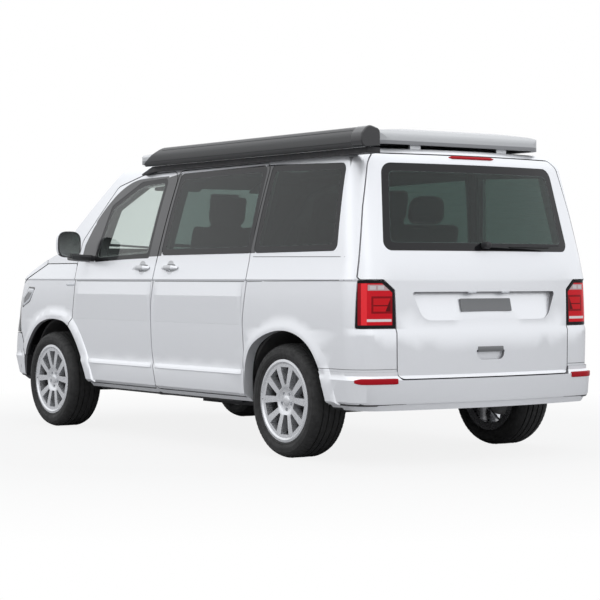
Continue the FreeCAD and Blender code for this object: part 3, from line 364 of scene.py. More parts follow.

# %% [markdown]
# The pop-up roof is moulded in a duller white than the body, and its lower band is painted grey, as painted
# shade along the roof's lower edge. The change of colour is a line at one height, so one mask on Z is enough.

# %% The pop-up roof: white shell over a lower band of painted shade
roof_white, shader = finish("RoofWhite", (0.72, 0.73, 0.75), 0.42, 0.0, 0.3)
base = tinted_by(roof_white, shader, noise(roof_white, 300, 1), (0.38, 0.39, 0.40), (0.42, 0.43, 0.44))
height = place_on(roof_white)[2]
# Painted shade: below this height the roof's colour turns grey, for the shade along its lower edge.
painted_edge_shade = stretched(roof_white, height, 1.904, 1.907, 1.0, 0.0)
plug(roof_white, mixed(roof_white, painted_edge_shade, base, (0.19, 0.195, 0.205)), shader.inputs["Base Color"])
plug(roof_white, mixed(roof_white, painted_edge_shade, 0.4, 0.6, "FLOAT"), shader.inputs["Roughness"])
print("roof in two tones")

# %% [markdown]
# ### Plain finishes
#
# Most other pieces have one colour. It still wanders a little with noise, because no real surface is even:
# rubber and coated steel in patches, cast metal in a coarse grain, plastic in a fine one. On the wheels the
# pockets between the spokes are painted darker than the spokes, by how deep they lie, as painted shade.

# %% Plastics and coatings
dark_trim, shader = finish("DarkTrim", (0.02, 0.02, 0.022), 0.55)
rough_by(dark_trim, shader, noise(dark_trim, 60), 0.45, 0.65)
bumped(dark_trim, shader, noise(dark_trim, 1200), 0.12, 0.0004)
gloss_black, shader = finish("GlossBlack", (0.012, 0.012, 0.014), 0.12, 0.0, 0.6)
rough_by(gloss_black, shader, noise(gloss_black, 30), 0.09, 0.16)
underside, shader = finish("UndersideCoat", (0.03, 0.03, 0.032), 0.8)
tinted_by(underside, shader, noise(underside, 12), (0.022, 0.022, 0.024), (0.045, 0.044, 0.042))
bumped(underside, shader, noise(underside, 90), 0.3, 0.002)
awning_grey, shader = finish("AwningGrey", (0.05, 0.053, 0.057), 0.4, 0.3)
tinted_by(awning_grey, shader, noise(awning_grey, 500), (0.050, 0.051, 0.052), (0.068, 0.069, 0.070))
rough_by(awning_grey, shader, noise(awning_grey, 200), 0.36, 0.48)
plate_grey, shader = finish("PlateBlank", (0.152, 0.157, 0.162), 0.5)
rough_by(plate_grey, shader, noise(plate_grey, 90), 0.42, 0.55)
print("plastics and coatings")

# %% [markdown]
# Metals differ in how far they spread a reflection: trim is nearly a mirror, a brake disc is brushed, and
# cast iron is dull. Rubber reflects almost nothing, and its roughness carries the look.

# %% Metals and rubber
alloy, shader = finish("WheelAlloy", (0.62, 0.63, 0.65), 0.3, 0.75, 0.4)
spoke = tinted_by(alloy, shader, noise(alloy, 500, 1), (0.66, 0.67, 0.69), (0.72, 0.73, 0.75))
# Painted shade: the wheel's colour darkens in the pockets between the spokes, by how deep they lie.
painted_pocket_shade = stretched(alloy, maths(alloy, "ABSOLUTE", place_on(alloy)[1]), 0.835, 0.885, 1.0, 0.0)
plug(alloy, mixed(alloy, painted_pocket_shade, spoke, (0.10, 0.10, 0.105)), shader.inputs["Base Color"])
rough_by(alloy, shader, noise(alloy, 45), 0.24, 0.36)
steel, shader = finish("DiscSteel", (0.42, 0.42, 0.43), 0.4, 0.9)
tinted_by(steel, shader, noise(steel, 30), (0.20, 0.195, 0.19), (0.32, 0.32, 0.325))
rough_by(steel, shader, noise(steel, 80), 0.3, 0.5)
iron, shader = finish("CastIron", (0.09, 0.09, 0.095), 0.7, 0.5)
bumped(iron, shader, noise(iron, 150), 0.3, 0.001)
tinted_by(iron, shader, noise(iron, 20), (0.07, 0.068, 0.066), (0.12, 0.115, 0.11))
rubber, shader = finish("TyreRubber", (0.02, 0.02, 0.022), 0.72)
tinted_by(rubber, shader, noise(rubber, 26), (0.011, 0.011, 0.011), (0.021, 0.021, 0.021))
rough_by(rubber, shader, noise(rubber, 40), 0.62, 0.82)
seal, shader = finish("SealRubber", (0.015, 0.015, 0.016), 0.6)
rough_by(seal, shader, noise(seal, 200), 0.5, 0.7)
bright, shader = finish("BrightMetal", (0.75, 0.76, 0.78), 0.14, 1.0)
rough_by(bright, shader, noise(bright, 200), 0.10, 0.2)
print("metals and rubber")

# %% [markdown]
# ### Cloth, boards and plastics of the cabin
#
# The seats' cloth is woven, so its bump is a product of two sine waves instead of noise. The cabinet's
# board has a grain that runs along it, which is noise stretched in one direction.

# %% Cabin finishes
cloth, shader = finish("SeatCloth", (0.05, 0.05, 0.055), 0.9)
cx, cy, cz = place_on(cloth)
THREADS = 2400.0
waves = []
for along in (cy, cz):
    turn = maths(cloth, "MULTIPLY", maths(cloth, "ADD", along, cx), THREADS)
    waves.append(maths(cloth, "SINE", turn))
weave = product(cloth, *waves)
tinted_by(cloth, shader, noise(cloth, 700), (0.030, 0.031, 0.035), (0.065, 0.066, 0.072))
bumped(cloth, shader, weave, 0.5, 0.0006)
shader.inputs["Sheen Weight"].default_value = 0.25
piping, shader = finish("SeatPiping", (0.02, 0.02, 0.022), 0.7)
bumped(piping, shader, noise(piping, 1500), 0.3, 0.0004)
board, shader = finish("CabinetBoard", (0.45, 0.43, 0.40), 0.5)
tinted_by(board, shader, noise(board, 6, 4, (1, 1, 12)), (0.38, 0.36, 0.33), (0.48, 0.46, 0.43))
soft_grey, shader = finish("BellowsCloth", (0.16, 0.16, 0.17), 0.9)
bumped(soft_grey, shader, noise(soft_grey, 900), 0.4, 0.0005)
tinted_by(soft_grey, shader, noise(soft_grey, 60), (0.13, 0.13, 0.14), (0.19, 0.19, 0.20))
cabin_grey, shader = finish("CabinPlastic", (0.05, 0.05, 0.054), 0.7)
bumped(cabin_grey, shader, noise(cabin_grey, 1500), 0.2, 0.0004)
tinted_by(cabin_grey, shader, noise(cabin_grey, 15), (0.042, 0.042, 0.046), (0.062, 0.062, 0.066))
screen, shader = finish("DisplayGlass", (0.01, 0.012, 0.015), 0.08, 0.0, 0.4)
rough_by(screen, shader, noise(screen, 40), 0.06, 0.12)
print("cabin finishes")

# %% [markdown]
# ### Glass
#
# Every pane has a printed black border that hides its edge. The border's inner outline is the same as the
# pane's, moved inwards. Behind the front seats the glass is tinted dark; in the cab it is lighter.

# %% Glass with a printed border
SIDE_PANES = [
    [(0.070, 1.229), (-0.066, 1.758), (0.289, 1.746), (0.669, 1.594), (0.858, 1.202)],
    [(-0.086, 1.240), (-0.222, 1.779), (-1.234, 1.789), (-1.166, 1.244)],
    [(-1.196, 1.244), (-1.290, 1.788), (-2.030, 1.766), (-2.048, 1.250)]]
REAR_PANE = [(-0.722, 1.252), (-0.658, 1.768), (0.658, 1.768), (0.722, 1.252)]
FRONT_PANE = [(-0.800, 1.268), (-0.640, 1.790), (0.640, 1.790), (0.800, 1.268)]


def glazing(name, corners, axes, tint, margin):
    material, shader = finish(name, tint, 0.02)
    point = place_on(material)
    clear = within(material, corners, point[axes[0]], point[axes[1]], margin, 0.05)
    wander = mixed(material, noise(material, 2), [c * 0.96 for c in tint], tint)
    plug(material, mixed(material, clear, (0.008, 0.008, 0.009), wander), shader.inputs["Base Color"])
    plug(material, mixed(material, clear, 0.0, 1.0, "FLOAT"), shader.inputs["Transmission Weight"])
    plug(material, mixed(material, clear, 0.09, 0.015, "FLOAT"), shader.inputs["Roughness"])
    shader.inputs["IOR"].default_value = 1.40
    return material


TINT = (0.085, 0.13, 0.115)
front_pane = glazing("CabGlass", SIDE_PANES[0], (0, 2), (0.73, 0.80, 0.765), 0.030)
slide_pane = glazing("DarkGlassMiddle", SIDE_PANES[1], (0, 2), TINT, 0.040)
quarter_pane = glazing("DarkGlassRear", SIDE_PANES[2], (0, 2), TINT, 0.040)
gate_pane = glazing("DarkGlassTailgate", REAR_PANE, (1, 2), (0.26, 0.37, 0.34), 0.048)
screen_pane = glazing("WindscreenGlass", FRONT_PANE, (1, 2), (0.82, 0.86, 0.85), 0.040)
print("five panes with borders")

# %% [markdown]
# ### Lamps
#
# The tail lamp's lens is one moulding with several tones: a black frame, a red body, a pale reversing
# segment, two darker inner fields and a thin white light bar. The tones are laid out on a tilted plane,
# measured sideways along the direction that the corner of the van faces.

# %% Tail lamp lens
tail_red, shader = finish("TailLampLens", (0.5, 0.006, 0.012), 0.2, 0.0, 0.06)
shader.inputs["Specular IOR Level"].default_value = 0.12
lx, ly, lz = place_on(tail_red)
ACROSS_X, ACROSS_Y = -0.576, -0.818
round_corner = maths(tail_red, "MULTIPLY_ADD", lx, ACROSS_X,
                     maths(tail_red, "MULTIPLY", maths(tail_red, "ABSOLUTE", ly), ACROSS_Y))


def lens_field(*corners, rounding=0.004):
    return within(tail_red, corners, round_corner, lz, 0, rounding)


def lens_square(u0, u1, z0, z1):
    return lens_field((u0, z0), (u1, z0), (u1, z1), (u0, z1))


fine = product(tail_red, *[maths(tail_red, "SINE", maths(tail_red, "MULTIPLY", way, 900.0))
                           for way in (round_corner, lz)])
body = mixed(tail_red, stretched(tail_red, fine, -1, 1), (0.50, 0.006, 0.014), (0.66, 0.010, 0.020))
red_body = lens_field((0.550, 0.818), (0.752, 0.818), (0.752, 1.006), (0.692, 1.060), (0.550, 1.060))
DEEP_RED, DARK_RED, SILVER = (0.24, 0.003, 0.007), (0.10, 0.003, 0.005), (0.56, 0.52, 0.53)
LENS_TONES = [
    (lens_square(0.550, 0.569, 0.818, 1.060), (0.30, 0.004, 0.010)),
    (lens_square(0.569, 0.603, 0.818, 1.060), (0.80, 0.03, 0.04)),
    (lens_square(0.629, 0.752, 0.885, 0.985), DEEP_RED),
    (lens_square(0.641, 0.742, 0.897, 0.973), (0.56, 0.008, 0.014)),
    (lens_square(0.641, 0.742, 0.928, 0.934), DARK_RED),
    (lens_field((0.712, 0.897), (0.742, 0.897), (0.742, 0.973)), DARK_RED),
    (lens_field((0.608, 1.018), (0.742, 1.018), (0.712, 1.052), (0.608, 1.052)), (0.46, 0.33, 0.34)),
    (lens_square(0.620, 0.656, 1.024, 1.046), SILVER),
    (lens_square(0.668, 0.704, 1.024, 1.046), SILVER),
    (lens_square(0.603, 0.748, 0.838, 0.853), (0.72, 0.66, 0.67))]
colour = body
for mask, tone in LENS_TONES:
    colour = mixed(tail_red, mask, colour, tone)
colour = mixed(tail_red, red_body, (0.010, 0.009, 0.010), colour)
plug(tail_red, colour, shader.inputs["Base Color"])
plug(tail_red, mixed(tail_red, stretched(tail_red, fine, -1, 1), 0.10, 0.18, "FLOAT"),
     shader.inputs["Roughness"])
print("tail lamp lens")

# %% [markdown]
# The front lamps' lens is dark with fine upright flutes in its upper field. The mirror glass is nearly a
# perfect reflector, and a painted reflection runs in its colour, from light at the foot to dark at the top.
# The mirror housing is painted ahead of its black rim.

# %% Other lamps and the mirrors
red_lens, shader_red = finish("RedLens", (0.42, 0.005, 0.012), 0.3, 0.0, 0.02)
shader_red.inputs["Specular IOR Level"].default_value = 0.1
tinted_by(red_lens, shader_red, noise(red_lens, 400), (0.30, 0.004, 0.010), (0.42, 0.008, 0.016))
head_lens, shader_head = finish("HeadlampLens", (0.10, 0.105, 0.11), 0.06, 0.2, 0.8)
_, hy, hz = place_on(head_lens)
flutes = stretched(head_lens, maths(head_lens, "SINE", maths(head_lens, "MULTIPLY", hy, 320.0)), 0.6, 0.9)
inner_field = stretched(head_lens, hz, 0.72, 0.74)
fluted = product(head_lens, flutes, inner_field)
tone = mixed(head_lens, fluted, (0.035, 0.037, 0.04), (0.22, 0.225, 0.235))
plug(head_lens, tone, shader_head.inputs["Base Color"])
clear_lens, shader_clear = finish("ClearLens", (0.6, 0.62, 0.65), 0.1, 0.1, 0.5)
tinted_by(clear_lens, shader_clear, noise(clear_lens, 150), (0.52, 0.54, 0.57), (0.68, 0.70, 0.73))
mirror_face, shader_mirror = finish("MirrorGlass", (0.3, 0.3, 0.3), 0.12, 0.9)
height = place_on(mirror_face)[2]
# Painted reflection: the glass's colour goes from light at the foot to dark at the top.
painted_mirror_reflection = mixed(mirror_face, stretched(mirror_face, height, 1.25, 1.40), (0.38, 0.405, 0.40),
            (0.09, 0.097, 0.095))
plug(mirror_face, painted_mirror_reflection, shader_mirror.inputs["Base Color"])
rough_by(mirror_face, shader_mirror, noise(mirror_face, 20), 0.08, 0.14)
mirror_shell, shader_shell = finish("MirrorShell", (0.80, 0.81, 0.84), 0.34, 0.0, 0.5)
mx, my, mz = place_on(mirror_shell)
MIRROR_FACE, MIRROR_FRONT, MIRROR_SLANT = 0.940, 1.008, 0.012
MIRROR_Y, MIRROR_HALF, MIRROR_Z = 1.062, 0.085, 1.326
SLOPE = -0.141  # about -MIRROR_SLANT / MIRROR_HALF, so that the rim is even all round
ahead = maths(mirror_shell, "MULTIPLY_ADD", maths(mirror_shell, "ABSOLUTE", my), SLOPE, mx)
cap = product(mirror_shell, stretched(mirror_shell, ahead, 0.7985, 0.8000),
              stretched(mirror_shell, mz, 1.255, 1.258))
plug(mirror_shell, mixed(mirror_shell, cap, (0.018, 0.018, 0.020), (0.77, 0.785, 0.81)),
     shader_shell.inputs["Base Color"])
plug(mirror_shell, mixed(mirror_shell, cap, 0.5, 0.34, "FLOAT"), shader_shell.inputs["Roughness"])
print("lamp and mirror finishes")

# %% [markdown]
# Every solid of the frame names a slot, and one table turns slots into finishes. A second, short table
# holds the few solids that look different from the rest of their slot.

# %% Give the finishes out
FINISH_OF_SLOT = {
    "body_paint": paint, "roof_shell": roof_white, "dark_trim": dark_trim, "underbody": underside,
    "alloy": alloy, "steel": steel, "iron": iron, "tyre_rubber": rubber, "tinted_glass": slide_pane,
    "red_lens": tail_red, "clear_lens": head_lens, "awning_paint": awning_grey, "bellows_cloth": soft_grey,
    "upholstery": cloth, "cabinet_board": board, "dark_plastic": cabin_grey,
}
for part in frame["record"]["subparts"]:
    obj = nodes[part["node"]]
    obj.data.materials.clear()
    obj.data.materials.append(FINISH_OF_SLOT[part["material_slot"]])
OTHER_FINISH = {
    "windscreen": screen_pane, "front_door_glass_left": front_pane, "front_door_glass_right": front_pane,
    "quarter_windows": quarter_pane, "tailgate_glass": gate_pane, "door_mirror_left": mirror_shell,
    "door_mirror_right": mirror_shell, "rear_wiper": dark_trim, "grille": gloss_black,
    "awning_rail": dark_trim,
}
for name, material in OTHER_FINISH.items():
    nodes[name].data.materials[0] = material
print(len(FINISH_OF_SLOT) + len(OTHER_FINISH), "finishes given out")

# %% [markdown]
# ## Tools for making pieces
#
# Most small parts of a car follow a panel: a strip, a seal, a lamp, a handle. So the main tool asks a panel
# where its skin is, by casting a ray at it, and sweeps a small section along the points that come back.

# %% Finding a panel's skin
SKINS = {}


def skin_at(node, start, direction):
    """Where a ray first meets a solid, and the direction out of it there."""
    if node not in SKINS:
        mesh = nodes[node].data
        SKINS[node] = BVHTree.FromPolygons([v.co for v in mesh.vertices],
                                           [tuple(p.vertices) for p in mesh.polygons])
    direction = Vector(direction)
    point, normal, _, _ = SKINS[node].ray_cast(Vector(start), direction)
    assert point, "a ray misses " + node
    if normal.dot(direction) > 0:
        normal = -normal
    return point, normal


BESIDE, BEYOND = 1.4, 3.2


def side_skin(node, x, z, sign=1):
    """The skin of a side panel: the ray comes from beside the van, on its left where sign is 1."""
    return skin_at(node, (x, sign * BESIDE, z), (0, -sign, 0))


def end_skin(node, y, z, front=False):
    """The skin at the tail or the nose, from a ray that comes from beyond it."""
    return skin_at(node, (BEYOND if front else -BEYOND, y, z), (-1 if front else 1, 0, 0))


point, _ = side_skin("front_door_left", 0.275, 1.158)
print("the left door's skin is at y =", round(point.y, 3))

# %% [markdown]
# Every new piece is a mesh from plain lists of points and faces. The most used one is a section swept along
# points: at each of them the direction out of the skin fixes how the section stands, so a strip never rolls
# on its panel. A curve with a bevel could do the same, but its tilt would have to be worked out point by
# point.

# %% Meshes from lists, and sections swept along points
def made(name, verts, faces, material, body, crease=0.6):
    """A mesh object from plain lists: faces outwards, smooth but for sharp edges, riding on a body."""
    mesh = bpy.data.meshes.new(name)
    mesh.from_pydata([tuple(v) for v in verts], [], faces)
    shape = bmesh.new()
    shape.from_mesh(mesh)
    bmesh.ops.recalc_face_normals(shape, faces=shape.faces)
    shape.to_mesh(mesh)
    shape.free()
    mesh.polygons.foreach_set("use_smooth", [True] * len(mesh.polygons))
    mesh.set_sharp_from_angle(angle=crease)
    mesh.materials.append(material)
    obj = bpy.data.objects.new(name, mesh)
    bpy.context.scene.collection.objects.link(obj)
    if body:
        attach(obj, body)
    return obj


def swept(name, points, outs, section, material, body, closed=False, scale=None, crease=0.6):
    """A section of (across, out) pairs carried along points; outs are the directions out of the skin."""
    verts, faces = [], []
    count, size = len(points), len(section)
    for i in range(count):
        before = points[i - 1] if i or closed else points[0]
        after = points[(i + 1) % count] if i < count - 1 or closed else points[-1]
        along = (after - before).normalized()
        across = along.cross(outs[i]).normalized()
        out = across.cross(along).normalized()
        grow = scale[i] if scale else 1.0
        verts += [points[i] + across * (a * grow) + out * (o * grow if o > 0 else o) for a, o in section]
    for i in range(count if closed else count - 1):
        for j in range(size):
            k, m = (i + 1) % count, (j + 1) % size
            faces.append((i * size + j, i * size + m, k * size + m, k * size + j))
    if not closed:
        faces += [tuple(range(size)), tuple(range((count - 1) * size, count * size))]
    return made(name, verts, faces, material, body, crease)


def pad_section(width, height, sunk=0.002):
    """A strip's section: flat underneath, rounded on top."""
    half, top = width / 2, height
    return [(-half, -sunk), (-half, top * 0.45), (-half * 0.82, top * 0.85), (-half * 0.5, top),
            (half * 0.5, top), (half * 0.82, top * 0.85), (half, top * 0.45), (half, -sunk)]


def round_section(radius, sides=10):
    return [(radius * math.cos(2 * math.pi * i / sides), radius * math.sin(2 * math.pi * i / sides))
            for i in range(sides)]


def steps(low, high, count):
    return [low + (high - low) * i / (count - 1) for i in range(count)]


print("helpers for meshes and sections")

# %% [markdown]
# Most strips run level along a side, or level across the tail or the nose, so those two get helpers: a list
# of places, one ray for each, and a sweep along the hits.

# %% Strips along panels
def side_strip(name, node, xs, z, section, material, body, sign=1, scale=None):
    """A strip along a side panel at a height; z may be a function of x."""
    hits = [side_skin(node, x, z(x) if callable(z) else z, sign) for x in xs]
    return swept(name, [p for p, _ in hits], [n for _, n in hits], section, material, body, scale=scale)


def end_strip(name, node, ys, z, section, material, body, front=False, scale=None):
    """A strip across the tail or the nose."""
    hits = [end_skin(node, y, z, front) for y in ys]
    return swept(name, [p for p, _ in hits], [n for _, n in hits], section, material, body, scale=scale)


print("helpers for strips")

# %% [markdown]
# Covers, plates and lamps are slabs with a rounded outline. An outline is a list of corners, each with a
# radius, and a corner becomes a short curve. A slab's rims can be drawn in a little, because no real edge
# is perfectly sharp.

# %% Outlines and slabs
def outline_of(corners, each=6):
    """Points of a closed outline of (u, v, radius) corners, rounded."""
    points = []
    count = len(corners)
    for i in range(count):
        u, v, radius = corners[i]
        here, before, after = Vector((u, v)), Vector(corners[i - 1][:2]), Vector(corners[(i + 1) % count][:2])
        a, b = (before - here), (after - here)
        turn = a.angle(b)
        reach = min(radius / math.tan(turn / 2), 0.48 * a.length, 0.48 * b.length)
        start, end = here + a.normalized() * reach, here + b.normalized() * reach
        for k in range(each):
            t = k / (each - 1)
            points.append(start * (1 - t) ** 2 + here * (2 * t * (1 - t)) + end * t ** 2)
    return points


def oblong(half_wide, half_high, radius, each=6):
    """A rounded rectangle about (0, 0)."""
    a, b = half_wide, half_high
    return outline_of([(u, v, radius) for u, v in ((-a, -b), (a, -b), (a, b), (-a, b))], each)


def between_rings(count, size):
    """The quads between closed rings of points that lie one after another."""
    return [(r * size + i, r * size + (i + 1) % size, (r + 1) * size + (i + 1) % size, (r + 1) * size + i)
            for r in range(count - 1) for i in range(size)]


def plate(name, outline, place, low, high, material, body, edge=0.0, crease=0.6):
    """A slab between low and high whose outline is (u, v) points; place(u, v, w) puts a point in space.
    With edge, both rims are drawn in a little, like a rounded edge."""
    centre = sum(outline, Vector((0, 0))) / len(outline)
    rings = [(low, edge), (low + edge, 0), (high - edge, 0), (high, edge)] if edge else [(low, 0), (high, 0)]
    verts = []
    for w, inset in rings:
        for p in outline:
            away = p - centre
            q = p - away.normalized() * inset
            verts.append(place(q.x, q.y, w))
    size = len(outline)
    ends = [tuple(range(size)), tuple(range(size * (len(rings) - 1), size * len(rings)))]
    return made(name, verts, ends + between_rings(len(rings), size), material, body, crease)


print("helpers for outlines and slabs")

# %% [markdown]
# Three more helpers follow. One lays a thin skin on a panel, as rings of rays that shrink to the outline's
# middle. One turns a section about an axis, as a lathe does, and one makes several meshes into a single
# piece with the materials of each.

# %% Skins on panels, turned pieces and joins
def laid(name, node, outline, start_of, direction, lift, material, body, rings=6):
    """A thin skin laid on a panel inside an outline; a ray starts from start_of(u, v)."""
    centre = sum(outline, Vector((0, 0))) / len(outline)
    size = len(outline)
    verts = []
    for r in range(rings, 0, -1):
        for p in outline:
            q = centre + (p - centre) * (r / rings)
            point, normal = skin_at(node, start_of(q.x, q.y), direction)
            verts.append(point + normal * (lift if r < rings else -0.0005))
    point, normal = skin_at(node, start_of(centre.x, centre.y), direction)
    verts.append(point + normal * lift)
    last = (rings - 1) * size
    fan = [(last + i, last + (i + 1) % size, rings * size) for i in range(size)]
    return made(name, verts, between_rings(rings, size) + fan, material, body)


def lathed(name, section, turn_count, place, material, body, crease=0.5, closed=True):
    """A section of (radius, along) pairs turned about an axis; place(x, y, z) has the axis along y."""
    size = len(section)
    verts = []
    for k in range(turn_count):
        angle = 2 * math.pi * k / turn_count
        verts += [place(r * math.cos(angle), y, r * math.sin(angle)) for r, y in section]
    faces = []
    for k in range(turn_count):
        m = (k + 1) % turn_count
        for i in range(size if closed else size - 1):
            j = (i + 1) % size
            faces.append((k * size + i, k * size + j, m * size + j, m * size + i))
    return made(name, verts, faces, material, body, crease)


def joined(name, objs, body):
    """Several pieces of one body become one object."""
    mesh = bpy.data.meshes.new(name)
    shape = bmesh.new()
    slots = []
    for obj in objs:
        own = bmesh.new()
        own.from_mesh(obj.data)
        material = obj.data.materials[0]
        if material not in slots:
            slots.append(material)
        for face in own.faces:
            face.material_index = slots.index(material)
        spare = bpy.data.meshes.new("spare")
        own.to_mesh(spare)
        shape.from_mesh(spare)
        own.free()
        bpy.data.meshes.remove(spare)
        bpy.data.objects.remove(obj)
    shape.to_mesh(mesh)
    shape.free()
    for material in slots:
        mesh.materials.append(material)
    obj = bpy.data.objects.new(name, mesh)
    bpy.context.scene.collection.objects.link(obj)
    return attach(obj, body)


print("helpers for skins, turned pieces and joins")

# %% [markdown]
# ## Repeats with Geometry Nodes
#
# Tread blocks, wheel bolts, grille slats and heater wires are one piece many times over. Two node trees do
# that work: one places copies round an axis, the other in a row. Each makes the copies real and hands them
# their material, and the result is turned into a plain mesh.

# %% A ring of copies, and a row of copies
def repeat_tree(name, ring):
    tree = bpy.data.node_groups.new(name, "GeometryNodeTree")
    socket = tree.interface.new_socket
    socket("Piece", in_out="INPUT", socket_type="NodeSocketObject")
    socket("Count", in_out="INPUT", socket_type="NodeSocketInt").default_value = 5
    socket("Step", in_out="INPUT", socket_type="NodeSocketVector")
    socket("Material", in_out="INPUT", socket_type="NodeSocketMaterial")
    socket("Geometry", in_out="OUTPUT", socket_type="NodeSocketGeometry")
    start, end = tree.nodes.new("NodeGroupInput"), tree.nodes.new("NodeGroupOutput")
    line = tree.nodes.new("GeometryNodeMeshLine")
    info = tree.nodes.new("GeometryNodeObjectInfo")
    info.inputs["As Instance"].default_value = True
    put = tree.nodes.new("GeometryNodeInstanceOnPoints")
    real = tree.nodes.new("GeometryNodeRealizeInstances")
    dye = tree.nodes.new("GeometryNodeSetMaterial")
    link = tree.links.new
    link(start.outputs["Count"], line.inputs["Count"])
    if ring:
        line.inputs["Offset"].default_value = (0, 0, 0)
        index = tree.nodes.new("GeometryNodeInputIndex")
        turn = tree.nodes.new("ShaderNodeVectorMath")
        turn.operation = "SCALE"
        link(start.outputs["Step"], turn.inputs[0])
        link(index.outputs[0], turn.inputs["Scale"])
        link(turn.outputs[0], put.inputs["Rotation"])
    else:
        link(start.outputs["Step"], line.inputs["Offset"])
    link(start.outputs["Piece"], info.inputs["Object"])
    link(line.outputs["Mesh"], put.inputs["Points"])
    link(info.outputs["Geometry"], put.inputs["Instance"])
    link(put.outputs["Instances"], real.inputs["Geometry"])
    link(real.outputs["Geometry"], dye.inputs["Geometry"])
    link(start.outputs["Material"], dye.inputs["Material"])
    link(dye.outputs["Geometry"], end.inputs["Geometry"])
    return tree


RING, ROW = repeat_tree("RepeatRound", True), repeat_tree("RepeatInRow", False)


def repeated(name, tree, piece, count, step, material, body, move=(0, 0, 0), mirror=False):
    """Copies of a piece: step is the turn between copies in a ring, or the shift between copies in a row."""
    carrier = bpy.data.objects.new(name, bpy.data.meshes.new(name))
    bpy.context.scene.collection.objects.link(carrier)
    modifier = carrier.modifiers.new("repeat", "NODES")
    modifier.node_group = tree
    values = {"Piece": piece, "Count": count, "Step": step, "Material": material}
    for item in tree.interface.items_tree:
        if item.in_out == "INPUT":
            modifier[item.identifier] = values[item.name]
    bpy.context.view_layer.update()
    graph = bpy.context.evaluated_depsgraph_get()
    mesh = bpy.data.meshes.new_from_object(carrier.evaluated_get(graph))
    carrier.modifiers.clear()
    mesh.name = name
    if mirror:
        mesh.transform(Matrix.Diagonal((1, -1, 1, 1)))
        mesh.flip_normals()
    mesh.transform(Matrix.Translation(Vector(move)))
    carrier.data = mesh
    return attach(carrier, body)


print("two repeat trees:", RING.name, ROW.name)

# %% [markdown]
# ## Tyres
#
# A tyre is a ring of rubber whose tread is cut by grooves. It could be a plain ring with the pattern as
# bump, but the tread shows in outline against the ground. So it is a turned section with four real grooves,
# plus a ring of shoulder blocks on each side, which one Geometry Nodes tree repeats. The section stays
# within the size of the solid tyre, which it replaces.

# %% Tyre section and one shoulder block
CROWN = [(0.3440, 0.0780), (0.3452, 0.0670), (0.3380, 0.0655), (0.3380, 0.0585), (0.3460, 0.0570),
         (0.3466, 0.0270), (0.3390, 0.0255), (0.3390, 0.0175), (0.3469, 0.0160)]
FLANK = [(0.2360, 0.1000), (0.2500, 0.1075), (0.2560, 0.1120), (0.2620, 0.1165), (0.2680, 0.1172),
         (0.2700, 0.1210), (0.2780, 0.1248), (0.2860, 0.1262), (0.2868, 0.1275), (0.2890, 0.1275),
         (0.2898, 0.1268), (0.3000, 0.1266), (0.3100, 0.1248), (0.3108, 0.1254), (0.3130, 0.1250),
         (0.3138, 0.1238), (0.3210, 0.1200), (0.3290, 0.1130), (0.3350, 0.1030), (0.3400, 0.0910)]
half_section = FLANK + CROWN
TYRE = half_section + [(r, -y) for r, y in reversed(half_section)]
INSIDE = [(0.2360, -0.0900), (0.2900, -0.1020), (0.3200, -0.0850), (0.3260, 0.0), (0.3200, 0.0850),
          (0.2900, 0.1020), (0.2360, 0.0900)]
BLOCK = [(0.3215, 0.1192), (0.3295, 0.1120), (0.3355, 0.1015), (0.3405, 0.0895), (0.3445, 0.0770),
         (0.3460, 0.0690)]


def shoulder_block():
    """One tread block at the top of the wheel's shoulder, standing a little out of the carcass."""
    verts = []
    for angle in (-0.026, 0.026):
        for lift in (0.0012, -0.004):
            for r, y in BLOCK:
                k = (r + lift) if r < 0.344 else min(r + lift, 0.3470)
                y = y + lift * 0.5
                verts.append((k * math.sin(angle + (y - 0.07) * 0.35), y,
                              k * math.cos(angle + (y - 0.07) * 0.35)))
    n = len(BLOCK)
    faces = []
    for i in range(n - 1):
        faces += [(i, i + 1, 2 * n + i + 1, 2 * n + i), (n + i, 3 * n + i, 3 * n + i + 1, n + i + 1),
                  (i, n + i, n + i + 1, i + 1), (2 * n + i, 2 * n + i + 1, 3 * n + i + 1, 3 * n + i)]
    faces += [(0, 2 * n, 3 * n, n), (n - 1, 2 * n - 1, 4 * n - 1, 3 * n - 1)]
    return made("block", verts, faces, rubber, None, 0.7)


print(len(TYRE + INSIDE), "points in the tyre's section")

# %% [markdown]
# The section is turned about each axle, and the blocks are joined to it, so that each tyre is one piece
# that replaces one solid. The blocks of the inner shoulder are a mirrored copy with its faces turned back.

# %% Four tyres
WHEELS = {"front_left": (FRONT_AXLE, 1), "front_right": (FRONT_AXLE, -1), "rear_left": (REAR_AXLE, 1),
          "rear_right": (REAR_AXLE, -1)}
AXLE_Z, WHEEL_Y, BLOCKS = 0.347, 0.814, 64
for label, (x, side) in WHEELS.items():
    body = "wheel_set_" + label
    hub = Vector((x, side * WHEEL_Y, AXLE_Z))
    carcass = lathed("carcass", TYRE + INSIDE, 112, lambda a, b, c: hub + Vector((a, b, c)), rubber, None)
    blocks = []
    for mirror in (False, True):
        block = shoulder_block()
        turn = (0, 2 * math.pi / BLOCKS, 0)
        blocks.append(repeated("blocks", RING, block, BLOCKS, turn, rubber, body, hub, mirror))
        bpy.data.objects.remove(block)
    tyre = joined("road_tyre_" + label, [carcass] + blocks, body)
    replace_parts(tyre, "tyre_" + label)
print("tyre:", len(tyre.data.polygons), "faces")

# %% [markdown]
# ## Wheels
#
# Five bolts with hexagon heads sit in the holes of the hub, so one bolt is made and repeated round the
# axis. A plain cap covers the middle, and a rubber valve stands in the rim.

# %% Bolts, caps and valves
BOLTS, BOLT_CIRCLE, BOLT_TURN, BOLT_HALF = 5, 0.0515, math.radians(36), 0.0085
CAP = [(0.0, 0.0985), (0.014, 0.0982), (0.026, 0.0968), (0.0315, 0.0940), (0.0330, 0.0895), (0.0, 0.0880)]


